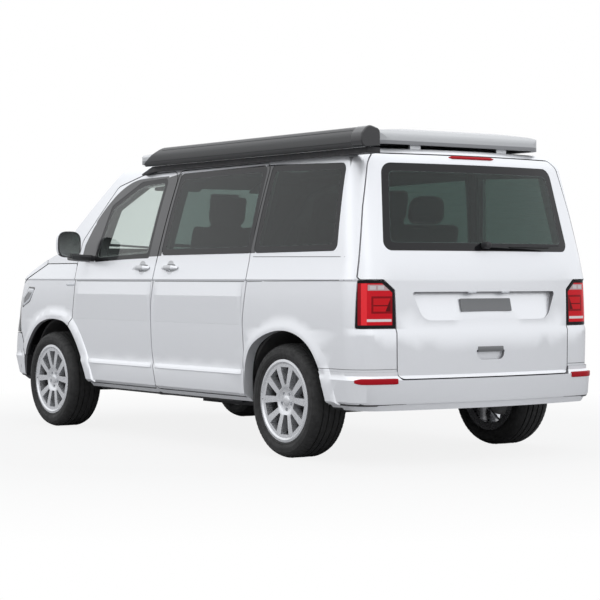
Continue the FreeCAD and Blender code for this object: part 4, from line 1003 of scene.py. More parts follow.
def bolt_piece():
    head = [Vector((BOLT_HALF * math.cos(math.pi * k / 3), BOLT_HALF * math.sin(math.pi * k / 3)))
            for k in range(6)]
    across, up = BOLT_CIRCLE * math.cos(BOLT_TURN), BOLT_CIRCLE * math.sin(BOLT_TURN)
    return plate("bolt", head, lambda u, v, w: Vector((u + across, w, v + up)), 0.045, 0.083,
                 bright, None, 0.0015)


for label, (x, side) in WHEELS.items():
    body = "wheel_set_" + label
    hub = Vector((x, side * WHEEL_Y, AXLE_Z))
    bolt = bolt_piece()
    turn = (0, 2 * math.pi / BOLTS, 0)
    ring = repeated("wheel_bolts_" + label, RING, bolt, BOLTS, turn, bright, body, (0, 0, 0), side < 0)
    bpy.data.objects.remove(bolt)
    ring.data.transform(Matrix.Translation(hub))
    cap = lathed("hub_cap_" + label, CAP, 40, lambda a, b, c: hub + Vector((a, side * b, c)), alloy, body)
    lathed("tyre_valve_" + label, [(0.0, 0.1150), (0.0035, 0.1150), (0.0040, 0.0900), (0.0, 0.0900)], 12,
           lambda a, b, c: hub + Vector((a + 0.232, side * b * 0.98, c)), seal, body)
print("20 bolts, 4 caps, 4 valves")

# %% [markdown]
# ## Door handles and locks
#
# Each handle is a bar that bridges the cup in its door. The bar's ends meet the skin either side of the
# cup, and in between it stands off it, by half a sine wave. A small lock sits ahead of each front door's
# handle.

# %% Handles
HANDLE_Z, HANDLE_RISE = 1.156, 0.024


def handle(name, node, x, sign, body):
    ends = [side_skin(node, x + d, HANDLE_Z, sign) for d in (-0.100, 0.096)]
    points, outs, grows = [], [], []
    for t in steps(0, 1, 17):
        base = ends[0][0].lerp(ends[1][0], t)
        out = ends[0][1].lerp(ends[1][1], t).normalized()
        rise = HANDLE_RISE * math.sin(math.pi * t) ** 0.6
        points.append(base + out * rise)
        outs.append(out)
        grows.append(0.55 + 0.45 * math.sin(math.pi * t) ** 0.5)
    section = [(-0.0145, -0.008), (-0.0160, 0.0), (-0.0125, 0.0065), (-0.005, 0.0090), (0.005, 0.0090),
               (0.0125, 0.0065), (0.0160, 0.0), (0.0145, -0.008)]
    bar = swept(name, points, outs, section, paint, body, scale=grows, crease=1.0)
    return bar


handle("sliding_door_handle", "sliding_door_left", -0.222, 1, "shell")
for side, sign in (("left", 1), ("right", -1)):
    handle("door_handle_" + side, "front_door_" + side, 0.150, sign, "door_" + side)
    p, n = side_skin("front_door_" + side, 0.275, 1.158, sign)
    turn = n.to_track_quat("Y", "Z").to_matrix()
    lathed("lock_" + side, [(0.0, 0.003), (0.009, 0.003), (0.011, 0.0015), (0.0115, -0.002), (0.0, -0.002)],
           24, lambda a, b, c: p + turn @ Vector((a, b, c)), paint, "door_" + side)
print("three handles, two locks")

# %% [markdown]
# ## Shoulder and trim strips
#
# Below the line under the windows the panels are pressed outwards a few millimetres, and low on the side a
# strip stands off them. Both catch the sky as a bright band. A bump in the paint could fake that from one
# side, but it would be flat in outline, so each is a thin skin that follows the panel at heights of its
# own. They are split where the doors part, so that each length rides with its own door.

# %% Skins over the side panels
def layer(name, node, xs, profile, material, body, sign):
    """A skin over a side panel; profile holds (z, how far it stands out) pairs, from the top down."""
    verts = []
    for x in xs:
        share = min(1.0, 0.25 + min(x - xs[0], xs[-1] - x) / 0.05)
        for z, stand in profile:
            point, normal = side_skin(node, x, z, sign)
            verts.append(point + normal * (stand * share if stand > 0 else stand))
    high = len(profile)
    faces = [(i * high + k, i * high + k + 1, (i + 1) * high + k + 1, (i + 1) * high + k)
             for i in range(len(xs) - 1) for k in range(high - 1)]
    obj = made(name, verts, faces, material, body, 0.02)
    return obj


def taper(count, ends=2):
    """Scales for a swept strip that narrows at its ends."""
    return [min(1.0, 0.35 + 0.65 * min(i, count - 1 - i) / ends) for i in range(count)]


SHOULDER = [(1.0645, -0.0010), (1.0630, 0.0006), (1.020, 0.0034), (0.976, 0.0066), (0.900, 0.0036),
            (0.800, 0.0006), (0.798, -0.0010)]
STRIP = [(0.5220, -0.0010), (0.5190, 0.0020), (0.5040, 0.0060), (0.4930, 0.0085), (0.4890, 0.0070),
         (0.4870, -0.0010)]
for side, sign in (("left", 1), ("right", -1)):
    door, middle = "front_door_" + side, "sliding_door_left" if sign > 0 else "body_side_right"
    layer("shoulder_door_" + side, door, steps(0.022, 1.094, 30), SHOULDER, paint, "door_" + side, sign)
    layer("shoulder_middle_" + side, middle, steps(-1.090, -0.036, 30), SHOULDER, paint, "shell", sign)
    layer("trim_strip_door_" + side, door, steps(0.012, 0.890, 26), STRIP, paint, "door_" + side, sign)
    layer("trim_strip_middle_" + side, middle, steps(-1.096, -0.044, 26), STRIP, paint, "shell", sign)
print("shoulders and trim strips")

# %% [markdown]
# ## Lower edges and reflectors
#
# Under the doors the sill ends in a dark edge, and the rear bumper has one too. The bumper turns round the
# van's corners, so its skin can't be found by rays from one side. They come from all round instead, level
# and towards a centre behind the corner, and the reflectors use the same path.

# %% Dark sill edges below the doors, and the lower edges of the bumpers
def under_strip(name, node, xs, sign):
    hits = [side_skin(node, x, 0.352, sign) for x in xs]
    points = [Vector((p.x, p.y - sign * 0.040, 0.326)) for p, _ in hits]
    section = [(-0.019, -0.03), (-0.019, 0.012), (-0.012, 0.020), (0.0, 0.022), (0.006, 0.016),
               (0.006, -0.03)]
    if sign < 0:
        section = [(-a, o) for a, o in section]
    piece = swept(name, points, [Vector((0, sign, 0))] * len(points), section, dark_trim, "shell")
    return piece


under_strip("sill_edge_left", "body_side_left", steps(-0.985, 0.840, 24), 1)
under_strip("sill_edge_right", "body_side_right", steps(-0.985, 0.840, 24), -1)


def corner_path(node, centre, angles, z, reach=1.2):
    """A level path round a corner of the van, from rays that run inwards to a centre."""
    points = []
    for degrees in angles:
        away = Vector((math.cos(math.radians(degrees)), math.sin(math.radians(degrees)), 0))
        points.append(skin_at(node, Vector((*centre, z)) + away * reach, -away)[0])
    return points


def outwards(points, centre):
    """Level directions square to a path and away from a centre."""
    outs = []
    for i, point in enumerate(points):
        along = points[min(i + 1, len(points) - 1)] - points[max(i - 1, 0)]
        out = Vector((along.y, -along.x, 0)).normalized()
        outs.append(out if out.dot(point - Vector((*centre, point.z))) > 0 else -out)
    return outs


def to_right(points):
    return [Vector((p.x, -p.y, p.z)) for p in points]


# The edge stands back a little under the bumper, and further in behind the wheel arches.
CORNER = (-2.10, 0.62)
left_half = corner_path("rear_bumper", CORNER, [180 - 7.5 * i for i in range(13)], 0.400)
left_half = [Vector((p.x + 0.010, p.y - (0.012 if p.y > 0.9 else 0), 0.372)) for p in left_half]
under = to_right(reversed(left_half)) + left_half
UNDER_EDGE = [(-0.022, -0.05), (-0.022, -0.006), (-0.012, 0.000), (0.014, 0.000), (0.014, -0.05)]
edge = swept("rear_bumper_edge", under, outwards(under, (-1.6, 0)), UNDER_EDGE, dark_trim, "shell")
print("sill and bumper edges")

# %% [markdown]
# Each reflector is a rounded strip along the same kind of path, at the height of the bumper's upper edge.
# The right one is the left one with Y turned round.

# %% Red reflectors that wrap round the rear bumper's corners
path = corner_path("rear_bumper", CORNER, [165 - 4.0 * i for i in range(14)], 0.4935)
outs = outwards(path, CORNER)
for name, points, ways in (("reflector_left", path, outs),
                           ("reflector_right", to_right(path), to_right(outs))):
    piece = swept(name, points, ways, pad_section(0.034, 0.005, 0.008), red_lens, "shell",
                  scale=[0.9] + [1.0] * 11 + [0.85, 0.5])
print("two reflectors")

# %% [markdown]
# ## The tailgate
#
# A red lamp sits over the window, the plate recess holds a blank plate under two small lights, and a grip
# bar crosses the recess below it. The plate leans with the recess: two rays find the slope of its floor.
# The heater's fine wires run across the inside of the glass, and a row of copies of one wire makes them.

# %% Lamp, plate, grip and small lights
brake = end_strip("high_brake_lamp", "tailgate", steps(-0.175, 0.175, 15), 1.812, pad_section(0.020, 0.008),
                  red_lens, "rear_gate", scale=taper(15, 1))
low_hit, high_hit = [end_skin("tailgate", 0.0, z)[0] for z in (0.885, 0.975)]
lean = (high_hit - low_hit).normalized()
base = low_hit.lerp(high_hit, 0.5) + Vector((0, 0.015, 0))
out = Vector((-lean.z, 0, lean.x))
plate("blank_plate_rear", oblong(0.197, 0.039, 0.006),
      lambda u, v, w: base + Vector((0, u, 0)) + lean * v + out * w, 0.001, 0.006, plate_grey, "rear_gate",
      0.0015)
for y in (-0.13, 0.13):
    p, n = skin_at("tailgate", (-2.335, y, 0.90), (0, 0, 1))
    plate("plate_light_%s" % ("left" if y > 0 else "right"), oblong(0.012, 0.03, 0.008),
          lambda u, v, w: p + Vector((u, v, w)), -0.009, 0.004, clear_lens, "rear_gate", 0.002)
GRIP = [(-0.016, -0.012), (-0.016, 0.000), (-0.011, 0.003), (0.011, 0.003), (0.016, 0.000), (0.016, -0.012)]
grip_hits = [end_skin("tailgate", y, 0.690)[0] for y in steps(-0.098, 0.098, 9)]
grip = swept("tailgate_grip", [Vector((p.x - 0.001, p.y, 0.668)) for p in grip_hits],
             [Vector((-1, 0, 0))] * len(grip_hits), GRIP, plate_grey, "rear_gate")
print("tailgate pieces")

# %% [markdown]
# A heater wire is a tenth of a millimetre of print, so it has only three points across. It follows the
# glass at the lowest height, and the copies shift along the glass's own slope.

# %% Heater wires on the rear glass
WIRES, INSIDE_X = 12, -1.5
wire_points = [skin_at("tailgate_glass", (INSIDE_X, y, 1.31), (-1, 0, 0)) for y in steps(-0.64, 0.64, 15)]
wire = swept("wire", [p + n * 0.0006 for p, n in wire_points], [n for _, n in wire_points],
             [(-0.0004, 0), (0, 0.0003), (0.0004, 0)], iron, None)
low_hit, high_hit = [skin_at("tailgate_glass", (INSIDE_X, 0, z), (-1, 0, 0))[0] for z in (1.31, 1.70)]
step = (high_hit - low_hit) / (WIRES - 1)
repeated("heater_wires", ROW, wire, WIRES, tuple(step), iron, "rear_gate")
bpy.data.objects.remove(wire)
print(WIRES, "heater wires")

# %% [markdown]
# The wiper's arm is a solid of the frame. What a solid can't show is the soft blade under it, a strip swept
# along the glass, and the turned cap over its pivot.

# %% Rear wiper: rubber blade and pivot cap
end_strip("wiper_rubber_rear", "tailgate_glass", steps(-0.545, -0.20, 14), 1.276, pad_section(0.006, 0.010),
          seal, "rear_gate")
lathed("wiper_pivot_cap", [(0.0, 0.0160), (0.012, 0.0150), (0.019, 0.0100), (0.0215, 0.0), (0.0, 0.0)], 28,
       lambda a, b, c: Vector((-2.352 - b, 0.016 + a, 1.286 + c)), dark_trim, "rear_gate")
print("wiper blade and cap")

# %% [markdown]
# ## Front: grille slats, lower intake, lamps and wipers
#
# The front is kept plain: slats in the grille, a dark intake with slats in the bumper, round lamps behind a
# dark lens, and two wipers at the foot of the windscreen. A slat is swept once along the skin and repeated
# in a row, from the first height to the last. The intake is only a dark skin laid on the bumper, inside an
# outline, because the bumper's solid stays as it is.

# %% Grille slats
def slats(name, node, half, low, high, count, section, ahead, cuts):
    """A row of slats between two heights, each a little ahead of the skin, with so many cuts."""
    slat = end_strip("slat", node, steps(-half, half, cuts), low, section, dark_trim, None, True)
    low_hit, high_hit = [end_skin(node, 0, z, True)[0] for z in (low, high)]
    step = tuple((high_hit - low_hit) / (count - 1))
    row = repeated(name, ROW, slat, count, step, dark_trim, "shell", (ahead, 0, 0))
    bpy.data.objects.remove(slat)
    return row


row = slats("grille_slats", "grille", 0.49, 0.726, 0.946, 6, pad_section(0.014, 0.010), 0.002, 27)
for name, z in (("grille_bar_low", 0.704), ("grille_bar_high", 0.962)):
    section = pad_section(0.010, 0.008)
    bar = end_strip(name, "grille", steps(-0.49, 0.49, 27), z, section, bright, "shell", True)
print("grille")

# %% [markdown]
# Lamps and lenses are turned sections set square to the skin: a ray finds the place and the normal, and the
# normal gives the rotation. The rings round the lamps find the skin point by point, so they bend with it.

# %% Lower intake and front lamps
INTAKE = outline_of([(-0.60, 0.452, 0.05), (0.60, 0.452, 0.05), (0.54, 0.610, 0.05), (-0.54, 0.610, 0.05)])
laid("lower_intake", "front_bumper", INTAKE, lambda u, v: (BEYOND, u, v), (-1, 0, 0), 0.0015, dark_trim,
     "shell", 8)
slats("intake_slats", "front_bumper", 0.52, 0.480, 0.585, 4, pad_section(0.012, 0.008), 0.001, 21)
face_x = end_skin("front_bumper", 0, 0.53, True)[0].x
plate("blank_plate_front", oblong(0.26, 0.055, 0.008), lambda u, v, w: Vector((face_x + w, u, 0.532 + v)),
      -0.018, 0.008, plate_grey, "shell", 0.0015)
FOG_LAMP = [(0.0, 0.007), (0.022, 0.0065), (0.036, 0.004), (0.040, 0.0), (0.040, -0.01), (0.0, -0.01)]
for side, sign in (("left", 1), ("right", -1)):
    p, n = end_skin("front_bumper", sign * 0.700, 0.505, True)
    turn = n.to_track_quat("Y", "Z").to_matrix()
    lathed("fog_lamp_" + side, FOG_LAMP, 32, lambda a, b, c: p + turn @ Vector((a, b, c)), clear_lens,
           "shell")
    for i, (y, z, radius) in enumerate(((0.640, 0.850, 0.062), (0.742, 0.855, 0.050))):
        p, n = end_skin("headlamps", sign * y, z, True)
        turn = n.to_track_quat("Y", "Z").to_matrix()
        section = [(0.0, 0.010), (radius * 0.45, 0.0085), (radius * 0.8, 0.004), (radius * 0.9, 0.0008),
                   (radius * 0.9, -0.002), (0.0, -0.002)]
        lathed("head_lens_%s_%d" % (side, i + 1), section, 40, lambda a, b, c: p + turn @ Vector((a, b, c)),
               clear_lens, "shell")
        ring = [p + turn @ Vector((radius * math.cos(t * math.pi / 20), 0.001,
                                   radius * math.sin(t * math.pi / 20)))
                for t in range(40)]
        ring = [skin_at("headlamps", q + n * 0.05, -n)[0] for q in ring]
        swept("head_ring_%s_%d" % (side, i + 1), ring, [n] * 40, round_section(0.003, 8), bright, "shell",
              True)
print("intake, front lamps and plate")

# %% [markdown]
# The windscreen leans and curves, so each blade is swept along points found on it. The arm starts further
# out at its pivot and comes down to the blade.

# %% Front wipers
BLADE = [(-0.003, -0.005), (-0.006, 0.004), (-0.004, 0.010), (0.004, 0.010), (0.006, 0.004), (0.003, -0.005)]
ARM = [(-0.009, -0.003), (-0.008, 0.003), (0.008, 0.003), (0.009, -0.003)]
for name, y0, y1, pivot in (("left", 0.02, 0.66, 0.66), ("right", -0.66, -0.04, -0.04)):
    hits = [end_skin("windscreen", y, 1.345 - 0.03 * (pivot - y) / 0.64, True) for y in steps(y0, y1, 18)]
    swept("wiper_blade_" + name, [p + n * 0.006 for p, n in hits], [n for _, n in hits], BLADE, seal, "shell")
    arm = [end_skin("windscreen", pivot + (y0 + 0.30 - pivot) * t, 1.325 + 0.006 * t, True)
           for t in steps(0, 1, 8)]
    swept("wiper_arm_" + name, [p + n * (0.016 - 0.002 * i) for i, (p, n) in enumerate(arm)],
          [n for _, n in arm], ARM, dark_trim, "shell")
print("front wipers")

# %% [markdown]
# ## Mirrors
#
# A door mirror is a moulded housing with a soft oval outline: a black rim round the glass, and a painted
# cap ahead of it. The solid is a plain box, which the housing replaces. Subdividing a box would work, but
# the outline would be hard to set, so the housing is a stack of superellipse rings drawn together towards
# the front. A short arm joins it to the door.

# %% Mirror housings and their glass
def mirror_ring(scale, ahead, sign, count=40):
    """An oval ring of the housing: its rear face slants forwards to the outside."""
    ring = []
    for i in range(count):
        turn = 2 * math.pi * i / count
        s, t = (math.copysign(abs(f(turn)) ** 0.62, f(turn)) * scale for f in (math.cos, math.sin))
        face = MIRROR_FACE + MIRROR_SLANT * s
        ring.append((face + ahead * (MIRROR_FRONT - face), sign * (MIRROR_Y + MIRROR_HALF * s),
                     MIRROR_Z + 0.093 * t))
    return ring


RINGS = [(0.90, 0.06), (0.93, 0.0), (0.97, 0.0), (1.0, 0.12), (0.995, 0.5), (0.93, 0.80), (0.72, 0.95),
         (0.34, 1.0)]
MIRROR_ARM = [(-0.046, -0.018), (-0.048, 0.006), (-0.036, 0.022), (0.036, 0.022), (0.048, 0.006),
              (0.046, -0.018), (0.030, -0.026), (-0.030, -0.026)]
for side, sign in (("left", 1), ("right", -1)):
    rings = [mirror_ring(scale, ahead, sign) for scale, ahead in RINGS]
    count = len(rings[0])
    points = [p for ring in rings for p in ring]
    ends = [tuple(range(count)), tuple(range(len(points) - count, len(points)))]
    housing = made("mirror_housing_" + side, points, ends + between_rings(len(rings), count), mirror_shell,
                   None, 1.0)
    stalk = [Vector((0.948 + 0.008 * t, sign * (0.900 + 0.150 * t), 1.230 + 0.010 * t * t))
             for t in steps(0, 1, 8)]
    arm = swept("arm", stalk, [Vector((0, 0, 1))] * len(stalk), MIRROR_ARM, mirror_shell, None)
    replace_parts(joined("door_mirror_housing_" + side, [housing, arm], "door_" + side), "door_mirror_" + side)
    glass = mirror_ring(0.915, 0.03, sign) + [(MIRROR_FACE, sign * MIRROR_Y, MIRROR_Z)]
    fan = [(i, (i + 1) % count, count) for i in range(count)]
    made("mirror_glass_" + side, glass, fan, mirror_face, "door_" + side)
print("two mirrors")

# %% [markdown]
# ## Lamps on the wings
#
# A clear indicator lies under the crease of each wing, and the front lamp's lens wraps round from the nose.
# The lens is three thin skins on each other: a black frame, a clear lens inside it and a darker core, each
# outline a little smaller and a little further out. From behind, daylight would show between the front
# lamps and the bumper, so a dark cover stands behind each lamp.

# %% Indicators, wrap-round lenses and dark covers
COVER = outline_of([(0.46, 0.58, 0.02), (0.80, 0.58, 0.02), (0.80, 0.78, 0.02), (0.46, 0.78, 0.02)])
LENS_LAYERS = (("frame", 0.0, 0.0016, gloss_black), ("lens", 0.010, 0.0036, clear_lens),
               ("core", 0.034, 0.0050, head_lens))
for side, sign in (("left", 1), ("right", -1)):
    lamp = side_strip("side_indicator_" + side, "wing_" + side, steps(1.128, 1.262, 9), 1.043,
                      pad_section(0.022, 0.005), clear_lens, "shell", sign,
                      scale=[0.6, 0.9, 1, 1, 1, 1, 1, 0.8, 0.4])
    for name, inset, lift, material in LENS_LAYERS:
        lens = outline_of([(1.770 + inset, 1.022 - inset, 0.012), (1.885, 1.026 - inset, 0.02),
                           (2.000 - inset, 0.935, 0.03), (2.012 - inset, 0.852 + inset, 0.02),
                           (1.862 + inset * 0.4, 0.908 + inset * 0.6, 0.05)], 5)
        skin = laid("headlamp_%s_%s" % (name, side), "wing_" + side, lens, lambda u, v: (u, sign * BESIDE, v),
                    (0, -sign, 0), lift, material, "shell")
    plate("lamp_cover_" + side, COVER, lambda u, v, w: Vector((w, sign * u, v)), 2.030, 2.036,
          dark_trim, "shell")
print("indicators, lenses and covers")

# %% [markdown]
# ## Creases
#
# A sharp crease runs round the van below the windows, and the cover of the sliding door's rail leaves a
# fine line above it. A crease catches hardly any light at its bottom, so each line is painted shade: a
# hair-thin dark strip on the skin, a few tenths of a millimetre high. Its height may be a function of x,
# because the crease climbs a little to the rear.

# %% Painted shade lines at the crease and along the rail cover
CREASE = [(-0.0022, -0.001), (-0.0022, 0.0004), (0.0022, 0.0004), (0.0022, -0.001)]
# Painted shade: a dark grey for the unlit bottom of each crease and the line at the rail cover.
crease_shade_tone, shader = finish("CreaseShade", (0.16, 0.165, 0.17), 0.6)
rough_by(crease_shade_tone, shader, noise(crease_shade_tone, 80), 0.5, 0.7)
BELT_Z, CLIMB_FROM = 1.0680, -1.14


def belt(x):
    return BELT_Z if x > CLIMB_FROM else BELT_Z + 0.012 * (CLIMB_FROM - x) / 1.14


for side, sign in (("left", 1), ("right", -1)):
    middle = "sliding_door_left" if sign > 0 else "body_side_right"
    for name, node, low, high, body in (("front_door", "front_door_" + side, 0.012, 1.092, "door_" + side),
                                        ("middle", middle, -1.118, -0.036, "shell"),
                                        ("rear", "body_side_" + side, -2.190, -1.150, "shell")):
        side_strip("belt_line_%s_%s" % (name, side), node, steps(low, high, 22), belt, CREASE, crease_shade_tone,
                   body, sign)
side_strip("rail_cover_line", "body_side_left", steps(-2.125, -1.150, 22),
           lambda x: 1.222 - 0.008 * (-1.15 - x), CREASE, crease_shade_tone, "shell")
print("crease lines")

# %% [markdown]
# ## Awning case
#
# The case is a long aluminium box with a moulded cap at its rear end, seams where its front board closes,
# and three clamps to the roof's edge. The cap is a slab with the case's own section, so its outline is
# worked out from the same corner as the case, the roof's edge at half the van's width.

# %% End cap, seam and clamps
HALF_WIDTH = 0.952
EDGE_Y, EDGE_Z, INNER = HALF_WIDTH - 0.008, 1.844, 0.134
CASE = [(-INNER, 0.004, 0.014), (-INNER, 0.101, 0.030), (-0.046, 0.127, 0.060), (0.003, 0.073, 0.040),
        (0.003, 0.014, 0.030), (-0.026, -0.007, 0.020)]
outline = outline_of([(EDGE_Y + u, EDGE_Z + v, radius) for u, v, radius in CASE], 7)
cap = plate("awning_end_cap", outline, lambda u, v, w: Vector((w, u, v)), -2.331, -2.225, gloss_black,
            "shell", 0.006)
for name, z, front in (("low", 1.868, 0.02), ("high", 1.938, -0.10)):
    side_strip("awning_seam_" + name, "awning_case", steps(-2.22, front, 20), z, pad_section(0.004, 0.0012),
               seal, "shell")
CLAMP = outline_of([(-0.030, -0.045, 0.008), (0.030, -0.045, 0.008), (0.030, 0.030, 0.008),
                    (-0.030, 0.030, 0.008)])
for i, x in enumerate((-1.75, -0.85, -0.10)):
    base = skin_at("awning_case", (x, EDGE_Y - INNER - 0.4, 1.90), (0, 1, 0))[0]
    plate("awning_clamp_%d" % (i + 1), CLAMP, lambda u, v, w: base + Vector((u, -w, v)), -0.004, 0.006,
          awning_grey, "shell", 0.002)
print("awning pieces")

# %% [markdown]
# ## Pop-up roof: ribs, a seal and the pleated cloth
#
# The roof is hinged at its rear. Low ribs stiffen its shell, and under it a rubber seal lies on the body's
# roof, lower and set inwards near the hinge, where the shell's rear edge swings down.

# %% Ribs and seal ring
for i, y in enumerate((-0.42, -0.21, 0.0, 0.21, 0.42)):
    hits = [skin_at("popup_roof", (x, y, 2.4), (0, 0, -1)) for x in steps(-1.86, 0.30, 24)]
    rib = swept("roof_rib_%d" % (i + 1), [p for p, _ in hits], [n for _, n in hits],
                pad_section(0.046, 0.0035, 0.001), roof_white, "raised_roof", scale=taper(len(hits)))
RING_LINE = outline_of([(-1.990, -0.640, 0.09), (-1.990, 0.640, 0.09), (0.530, 0.680, 0.12),
                        (0.660, 0.560, 0.2), (0.660, -0.560, 0.2), (0.530, -0.680, 0.12)], 6)
SEAL_Z, SUNK, SINK_FROM, SINK_OVER = 1.862, 0.016, -1.60, 0.30
line = [Vector((p.x, p.y, SEAL_Z - SUNK * min(1.0, max(0.0, (SINK_FROM - p.x) / SINK_OVER))))
        for p in RING_LINE]
SEAL = [(-0.012, -0.004), (-0.012, 0.010), (-0.006, 0.015), (0.006, 0.015), (0.012, 0.010), (0.012, -0.004)]
swept("roof_seal", line, [Vector((0, 0, 1))] * len(line), SEAL, seal, "shell", True)
print("ribs and seal")

# %% [markdown]
# The cloth under the roof is one sheet, pleated round the hatch. It could be simulated, but folded between
# two rims 7 cm apart it would only tangle, so its zigzag is written out: rows of points that stand in and
# out by turns, with a little slack along each fold. It rides on none of the moving bodies, so neither its
# foot nor its top moves with the roof.

# %% Pleated cloth between the body and the pop-up roof
def evenly(outline, spacing):
    """The same outline with more points on its long sides."""
    dense = []
    for i, p in enumerate(outline):
        q = outline[(i + 1) % len(outline)]
        count = max(1, int((q - p).length / spacing))
        dense += [p.lerp(q, k / count) for k in range(count)]
    return dense


RING_IN = evenly(outline_of([(-1.795, -0.545, 0.05), (-1.795, 0.545, 0.05), (0.405, 0.545, 0.05),
                             (0.405, -0.545, 0.05)], 9), 0.045)
middle = sum(RING_IN, Vector((0, 0))) / len(RING_IN)
LOW, HIGH, FOLDS = 1.868, 1.938, 7
OUTER, INNER_FOLD, SLACK = 0.008, -0.004, 0.0012
size, rows = len(RING_IN), FOLDS * 2 + 1
verts = []
for r in range(rows):
    z = LOW + (HIGH - LOW) * r / (rows - 1)
    for i, p in enumerate(RING_IN):
        along = RING_IN[(i + 1) % size] - RING_IN[i - 1]
        out = Vector((along.y, -along.x)).normalized()
        out = out if out.dot(p - middle) > 0 else -out
        q = p + out * ((OUTER if r % 2 else INNER_FOLD) + SLACK * math.sin(i * 0.9 + r))
        verts.append((q.x, q.y, z))
tent = made("pleated_cloth", verts, between_rings(rows, size), soft_grey, None, 0.9)
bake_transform(tent)
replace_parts(tent, "roof_bellows")
print("pleated cloth", len(tent.data.polygons), "faces")

# %% [markdown]
# ## Seats
#
# A seat is foam in a sewn cover, crowned between its seams. The solids are plain blocks. Sculpting would
# give crowns too, but a cloth simulation finds them by itself: each block is remeshed into an even grid and
# blown up a little, as padding fills its cover. How far any point may move is capped, so no seat grows into
# its neighbour.

# %% An even, softened copy of a solid
def even_copy(name, source, voxel=0.016):
    """A copy of a solid as one grid of even faces, with softened edges."""
    shape = bmesh.new()
    shape.from_mesh(nodes[source].data)
    bmesh.ops.remove_doubles(shape, verts=shape.verts, dist=0.0001)
    mesh = bpy.data.meshes.new(name)
    shape.to_mesh(mesh)
    shape.free()
    obj = bpy.data.objects.new(name, mesh)
    bpy.context.scene.collection.objects.link(obj)
    mesh.materials.clear()
    mesh.materials.append(cloth)
    for other in bpy.context.selected_objects:
        other.select_set(False)
    obj.select_set(True)
    bpy.context.view_layer.objects.active = obj
    remesh = obj.modifiers.new("even grid", "REMESH")
    remesh.mode = "VOXEL"
    remesh.voxel_size = voxel
    remesh.use_smooth_shade = True
    bpy.ops.object.modifier_apply(modifier=remesh.name)
    smooth = obj.modifiers.new("soften", "SMOOTH")
    smooth.iterations = 6
    smooth.factor = 0.6
    bpy.ops.object.modifier_apply(modifier=smooth.name)
    return obj


print("helper for even copies")

# %% [markdown]
# Cloth physics then presses the cover outwards for twenty frames. There is no gravity, and it starts from
# the same mesh each time, so it always ends in the same shape. A point that moved further than the cap is
# brought back along its way, and a last light smoothing takes the simulation's small ripples out.

# %% Blow up the padding
LAST_FRAME = 20


def blow_up(obj, cap, pressure=4.0):
    """Moves the points of a cover as cloth under pressure moves them, each by the cap at most."""
    start = [v.co.copy() for v in obj.data.vertices]
    fabric = obj.modifiers.new("cloth", "CLOTH")
    fabric.settings.use_pressure = True
    fabric.settings.uniform_pressure_force = pressure
    fabric.settings.effector_weights.gravity = 0
    fabric.settings.quality = 4
    fabric.settings.mass = 0.4
    fabric.point_cache.frame_start = 1
    fabric.point_cache.frame_end = LAST_FRAME
    for number in range(1, LAST_FRAME + 1):
        bpy.context.scene.frame_set(number)
    graph = bpy.context.evaluated_depsgraph_get()
    blown = bpy.data.meshes.new_from_object(obj.evaluated_get(graph))
    places = [v.co.copy() for v in blown.vertices]
    obj.modifiers.clear()
    bpy.data.meshes.remove(blown)
    for vertex, before, after in zip(obj.data.vertices, start, places):
        move = after - before
        if move.length > cap:
            move *= cap / move.length
        vertex.co = before + move
    bpy.context.scene.frame_set(1)


def filled(name, source, cap, body):
    """A padded copy of a solid, which it replaces."""
    obj = even_copy(name, source)
    blow_up(obj, cap)
    relax = obj.modifiers.new("relax", "SMOOTH")
    relax.iterations = 2
    relax.factor = 0.4
    bpy.ops.object.modifier_apply(modifier=relax.name)
    obj.data.polygons.foreach_set("use_smooth", [True] * len(obj.data.polygons))
    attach(obj, body)
    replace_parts(obj, source)
    return obj


for name, source in (("padded_driver_seat", "driver_seat"), ("padded_passenger_seat", "passenger_seat"),
                     ("padded_bench", "rear_bench")):
    pad = filled(name, source, 0.012, "shell")
    print(name, len(pad.data.polygons), "faces")

# %% [markdown]
# Sewn seams would vanish in the remesh, so they come after it, as thin cords laid where rays find the seat.
# The bench's headrests are superellipsoids, a sphere whose points are pushed towards a box, on two bright
# stalks.

# %% Sewn seams and the bench's headrests
def seat_line(name, source, points, direction, radius=0.004):
    """A sewn cord laid on a seat where rays find it."""
    hits = [skin_at(source, p, direction) for p in points]
    return swept(name, [p + n * 0.006 for p, n in hits], [n for _, n in hits], round_section(radius, 6),
                 piping, "shell")


for label, y in (("driver", 0.43), ("passenger", -0.43)):
    source = label + "_seat"
    for k, dy in enumerate((-0.165, 0.165)):
        back = [(0.9, y + dy, z) for z in steps(0.93, 1.40, 14)]
        seat_line("%s_back_seam_%d" % (label, k + 1), source, back, (-1, 0, 0))
        cushion = [(x, y + dy, 1.6) for x in steps(0.15, 0.49, 12)]
        seat_line("%s_cushion_seam_%d" % (label, k + 1), source, cushion, (0, 0, -1))
for k, y in enumerate((-0.045, 0.340, 0.725)):
    back = [(-0.4, y, z) for z in steps(0.95, 1.38, 12)]
    seat_line("bench_back_seam_%d" % (k + 1), "rear_bench", back, (-1, 0, 0))
print("seams")


def headrest(name, x, y, z, wide, body="shell"):
    ball = bmesh.new()
    bmesh.ops.create_icosphere(ball, subdivisions=4, radius=1.0)
    verts = []
    for v in ball.verts:
        a, b, c = (math.copysign(abs(t) ** 0.62, t) for t in v.co)
        verts.append((x + a * 0.052 - c * 0.016, y + b * wide / 2 * (1 - 0.06 * c), z + c * 0.092))
    faces = [tuple(v.index for v in f.verts) for f in ball.faces]
    ball.free()
    rest = made(name, verts, faces, cloth, body, 3.0)
    for k, dy in enumerate((-0.05, 0.05)):
        lathed("%s_stalk_%d" % (name, k + 1), [(0.0, -0.14), (0.0065, -0.14), (0.0065, 0.02), (0.0, 0.02)],
               12, lambda a, b, c: Vector((x + a, y + dy + c, z - 0.08 + b)), bright, body)
    return rest


